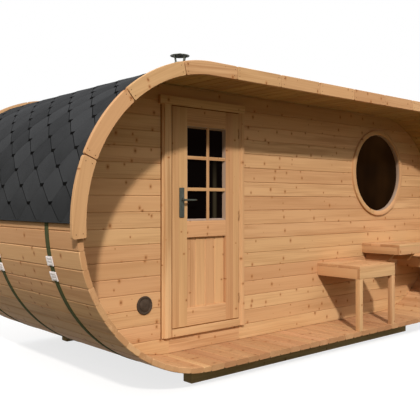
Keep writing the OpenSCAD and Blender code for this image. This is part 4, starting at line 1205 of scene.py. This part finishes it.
# %% Pipe and flashing
pipe_lo, pipe_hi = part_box("flue_pipe")
cap_lo, cap_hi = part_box("flue_cap")
flue_at = ((cap_lo.x + cap_hi.x) / 2, (cap_lo.y + cap_hi.y) / 2, 0)
ROOF_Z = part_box("roof_shingles")[1].z
FLUE_R, FLUE_IN = 0.060, 0.057
flue = Bench()
BEAD_R = FLUE_R + 0.0018
flue.lathe([(FLUE_IN, pipe_lo.z), (FLUE_R, pipe_lo.z), (FLUE_R, pipe_hi.z - 0.012), (BEAD_R, pipe_hi.z - 0.010),
            (BEAD_R, pipe_hi.z - 0.002), (FLUE_R, pipe_hi.z), (FLUE_IN, pipe_hi.z)], flue_at, "z", 56)
base_r = (pipe_hi.x - pipe_lo.x) / 2
flue.lathe([(FLUE_R + 0.0003, ROOF_Z - 0.012), (base_r, ROOF_Z - 0.012), (base_r, ROOF_Z + 0.001),
            (base_r - 0.004, ROOF_Z + 0.004), (FLUE_R + 0.032, ROOF_Z + 0.005), (FLUE_R + 0.026, ROOF_Z + 0.010),
            (FLUE_R + 0.003, ROOF_Z + 0.058), (FLUE_R + 0.0003, ROOF_Z + 0.062)], flue_at, "z", 56)
flue.lathe([(FLUE_R, ROOF_Z + 0.056), (FLUE_R + 0.004, ROOF_Z + 0.056), (FLUE_R + 0.005, ROOF_Z + 0.060),
            (FLUE_R + 0.004, ROOF_Z + 0.068), (FLUE_R, ROOF_Z + 0.069)], flue_at, "z", 56)
flue.make("flue_pipe_and_flashing", FLUE_STEEL, "sauna", "flue_steel", "flue_pipe", smooth=40)

# %% [markdown]
# The hat is a thin sheet with a rolled edge, turned as one closed outline, so its hollow underside shows from the
# ground. Four flat legs stand in the pipe, lean out and carry it.

# %% Hat
hat = Bench()
HAT_R, hat_z, hat_top = (cap_hi.x - cap_lo.x) / 2, cap_hi.z - 0.028, cap_hi.z
hat.lathe([(0, hat_top), (0.014, hat_top - 0.001), (0.030, hat_top - 0.0065), (HAT_R - 0.006, hat_z + 0.0035),
           (HAT_R - 0.001, hat_z + 0.003), (HAT_R, hat_z + 0.001), (HAT_R - 0.001, hat_z - 0.001),
           (HAT_R - 0.005, hat_z), (0.030, hat_top - 0.009), (0, hat_top - 0.004)], flue_at, "z", 56)
LEG_HALF, LEG_T = 0.008, 0.0025
foot, head = FLUE_R - 0.004, FLUE_R + 0.016
for i in range(4):
    a = math.radians(90 * i)
    out = Vector((math.cos(a), math.sin(a), 0))
    aside = Vector((-math.sin(a), math.cos(a), 0)) * LEG_HALF
    loops = []
    for r, z in ((foot, pipe_hi.z - 0.03), (foot + 0.001, pipe_hi.z), (head, hat_z + 0.006)):
        mid = Vector(flue_at) + out * r + Vector((0, 0, z))
        loops.append([tuple(mid + aside), tuple(mid - aside), tuple(mid - aside + out * LEG_T),
                      tuple(mid + aside + out * LEG_T)])
    hat.loft(loops, Z, X)
hat.make("flue_hat", FLUE_STEEL, "sauna", "flue_steel", "flue_cap", smooth=40)

# %% [markdown]
# ## Seats and table
# Two seats stand at the wall under the window. Their tops are glued from four boards, on a frame of rails and two
# square front legs. The right-hand seat reaches onto the round floor, so a function lifts the points that would lie
# below it.

# %% Seats
GLUE_GAP, TOP_BOARDS, PLANK_EASE, RAIL_T = 0.0003, 4, 0.003, 0.028
FRONT_TONE, SIDE_TONE, FOOT_PLAY = 0.23, 0.943, 0.0004


def on_round(p):
    """Lifts a point of the right-hand seat onto the round floor where it would lie below it."""
    x, y, z = p
    past = x - END_X
    floor = MID_Z - math.sqrt(max(0.0, INNER_R ** 2 - past ** 2)) if past > 0 else FLOOR_Z
    return x, y, max(z, floor + FOOT_PLAY)


def glued_top(word):
    """A top of boards side by side, from the front to the wall. Gives its highest corner."""
    low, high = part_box(word + "_top")
    top = Bench()
    deep = (high.y - low.y) / TOP_BOARDS
    for i in range(TOP_BOARDS):
        top.plank((low.x, low.y + i * deep + GLUE_GAP, low.z), (high.x, low.y + (i + 1) * deep - GLUE_GAP, high.z),
                  "x", PLANK_EASE, across="y")
    top.make(word + "_top_boards", PINE, "sauna", "pine", word + "_top")
    return high


def seat(word, reshape=None):
    """A seat of a top, two legs and four rails; reshape fits it to the round floor."""
    x1 = glued_top(word + "_seat").x
    frame_lo, frame_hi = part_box(word + "_seat_frame")
    leg, rail_h = 0.050, 0.094
    under = Bench()
    z1, z0 = frame_hi.z, frame_hi.z - rail_h
    x0, y0, y1 = frame_lo.x, frame_lo.y, frame_hi.y
    # a leg on the round floor is short, so it runs up beside the rail; the others stand under it, with a tongue behind
    short = leg if reshape else 0.0
    for x, inner, full in ((x0, x0 + RAIL_T, False), (x1 - leg, x1 - leg, bool(reshape))):
        under.plank((x, y0, FLOOR_Z), (x + leg, y0 + leg, z1 if full else z0), "z", 0.004, reshape=reshape)
        if not full:
            under.plank((inner, y0 + RAIL_T, z0 - 0.002), (inner + leg - RAIL_T, y0 + leg, z1), "z", 0.002)
    under.plank((x0, y0, z0), (x1 - short, y0 + RAIL_T, z1), "x", PLANK_EASE, tone=FRONT_TONE)
    under.plank((x0, y0 + RAIL_T, z0), (x0 + RAIL_T, y1, z1), "y", PLANK_EASE, tone=SIDE_TONE)
    under.plank((x1 - RAIL_T, y0 + max(RAIL_T, short), z0), (x1, y1, z1), "y", PLANK_EASE, reshape=reshape,
                tone=SIDE_TONE)
    under.plank((x0 + RAIL_T, y1 - RAIL_T, z0), (x1 - RAIL_T, y1, z1), "x", PLANK_EASE)
    under.make(word + "_seat_frame_boards", PINE, "sauna", "pine", word + "_seat_frame")


seat("left")
seat("right", on_round)

# %% [markdown]
# The table between the seats has the same kind of top and rails, but it hangs on the wall on two slanted brackets. A
# bracket is one outline, pushed sideways, with the first and the last outline drawn in to ease its edges.

# %% Table
glued_top("table")
frame_lo, frame_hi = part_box("table_frame")
under = Bench()
x0, x1, y0, y1, z1 = frame_lo.x, frame_hi.x, frame_lo.y, frame_hi.y, frame_hi.z
TABLE_RAIL = 0.075
z0 = z1 - TABLE_RAIL
under.plank((x0, y0, z0), (x1, y0 + RAIL_T, z1), "x", PLANK_EASE)
under.plank((x0, y0 + RAIL_T, z0), (x0 + RAIL_T, y1, z1), "y", PLANK_EASE)
under.plank((x1 - RAIL_T, y0 + RAIL_T, z0), (x1, y1, z1), "y", PLANK_EASE)
under.plank((x0 + RAIL_T, y1 - RAIL_T, z0), (x1 - RAIL_T, y1, z1), "x", PLANK_EASE)
BRACKET_T, BRACKET_IN, BRACKET_REACH, NOSE = 0.040, 0.061, 0.255, 0.028
drop = z1 - frame_lo.z
tip = -BRACKET_REACH - drop + NOSE
bracket = [(0, 0), (0, -drop), (-BRACKET_REACH, -drop), (tip, -NOSE), (tip, 0)]
for x in (x0 + BRACKET_IN, x1 - BRACKET_IN - BRACKET_T):
    loops = []
    for dx, inset in ((0, 0.003), (0.003, 0), (BRACKET_T - 0.003, 0), (BRACKET_T, 0.003)):
        loops.append([(x + dx, y1 + v + (inset if v < 0 else 0), z1 + w + (inset if w < -0.03 else 0))
                      for v, w in bracket])
    under.loft(loops, Y, Z)
under.make("table_frame_boards", PINE, "sauna", "pine", "table_frame")

# %% [markdown]
# ## Stage, light and camera
# The floor and the world are pale to the camera and dimmer to the object, so the picture has its pale ground without
# extra light on the boards. A Light Path node tells the two kinds of ray apart; metal and glass see what the camera
# sees. The sky is brighter overhead than at the horizon, which shades the boards under the roof as open air does.

# %% Floor and world
SPAN = 90.0
LOW_FILL, HIGH_FILL, HIGH_AT = 0.12, 1.15, 0.75


def seen_rays(wire):
    """1 for the rays of the camera, of metal and of glass, 0 for light on its way to the object."""
    rays = wire.node("LightPath")
    mirrored = rays.math("MAXIMUM", rays.also("Is Glossy Ray"), rays.also("Is Transmission Ray"))
    return rays.math("MAXIMUM", rays, mirrored)


ground = bpy.data.meshes.new("floor")
ground.from_pydata([(-SPAN, -SPAN, 0), (SPAN, -SPAN, 0), (SPAN, SPAN, 0), (-SPAN, SPAN, 0)], [], [(0, 1, 2, 3)])
floor = into_scene("floor", ground)
made, wire, shader = new_material("floor")
feed(shader, Base_Color=(0.095, 0.085, 0.036, 1), Roughness=0.9, Specular_IOR_Level=0.0)
pale = wire.node("BsdfDiffuse", None, {"Color": (0.30, 0.30, 0.30)})
glow = wire.node("Emission", None, {"Color": (1.0, 1.0, 1.0), "Strength": 0.76})
bright = wire.node("AddShader", None, {0: pale, 1: glow})
both = wire.node("MixShader", None, {0: seen_rays(wire), 1: Wire(made.node_tree, shader.outputs[0]), 2: bright})
feed(made.node_tree.nodes["Material Output"], Surface=both)
ground.materials.append(made)
floor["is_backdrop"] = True

world = bpy.data.worlds.new("studio")
world.use_nodes = True
bpy.context.scene.world = world
sky = Wire(world.node_tree)
seen = seen_rays(sky)
_, _, height = sky.node("TexCoord", out="Generated").split()
fill = height.between(0.0, HIGH_AT) * (HIGH_FILL - LOW_FILL) + LOW_FILL
feed(world.node_tree.nodes["Background"], Color=(1, 1, 1, 1), Strength=seen * (1 - fill) + fill)
print(f"floor {2 * SPAN:.0f} m wide, sky from {LOW_FILL} at the horizon to {HIGH_FILL} overhead")

# %% [markdown]
# One sun gives the light its direction: from the left, in front and above, a little warm. A lamp shines along its own
# -Z, so the direction is turned into a rotation instead of being set by three angles.

# %% Key light
key = bpy.data.lights.new("key", "SUN")
key.energy, key.angle, key.color = 3.05, math.radians(3), (1.0, 0.955, 0.895)
towards = Vector((0.479, 0.640, -0.601))
into_scene("key", key).rotation_euler = towards.to_track_quat("-Z", "Y").to_euler()
print("sun of strength", round(key.energy, 2), "towards", tuple(round(v, 2) for v in towards))

# %% [markdown]
# The camera stands where the photograph was taken, a little over 1.4 m above the ground. It looks level, with a small
# shift instead of a tilt, so that uprights stay upright.

# %% Camera
eye = bpy.data.cameras.new("camera")
eye.lens, eye.sensor_width, eye.shift_y = 54.41, 36.0, -0.02055
eye.clip_end = 300.0
camera = into_scene("camera", eye)
camera.location = (-4.6597, -4.8272, 1.4153)
camera.rotation_euler = (math.radians(90), 0, math.radians(-41.32))
bpy.context.scene.camera = camera
bpy.context.scene.view_settings.view_transform = "Standard"
print("camera", tuple(round(v, 2) for v in camera.location), "lens", round(eye.lens, 2))

# %% [markdown]
# Dressing must not change the size. The box of the imported model, kept from the start, and the box of what is shown
# now are printed one under the other.

# %% Measure and finish
visual_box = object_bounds()
for word, box in (("cad", cad_box), ("visual", visual_box)):
    print(word, [tuple(round(x, 3) for x in v) for v in box])
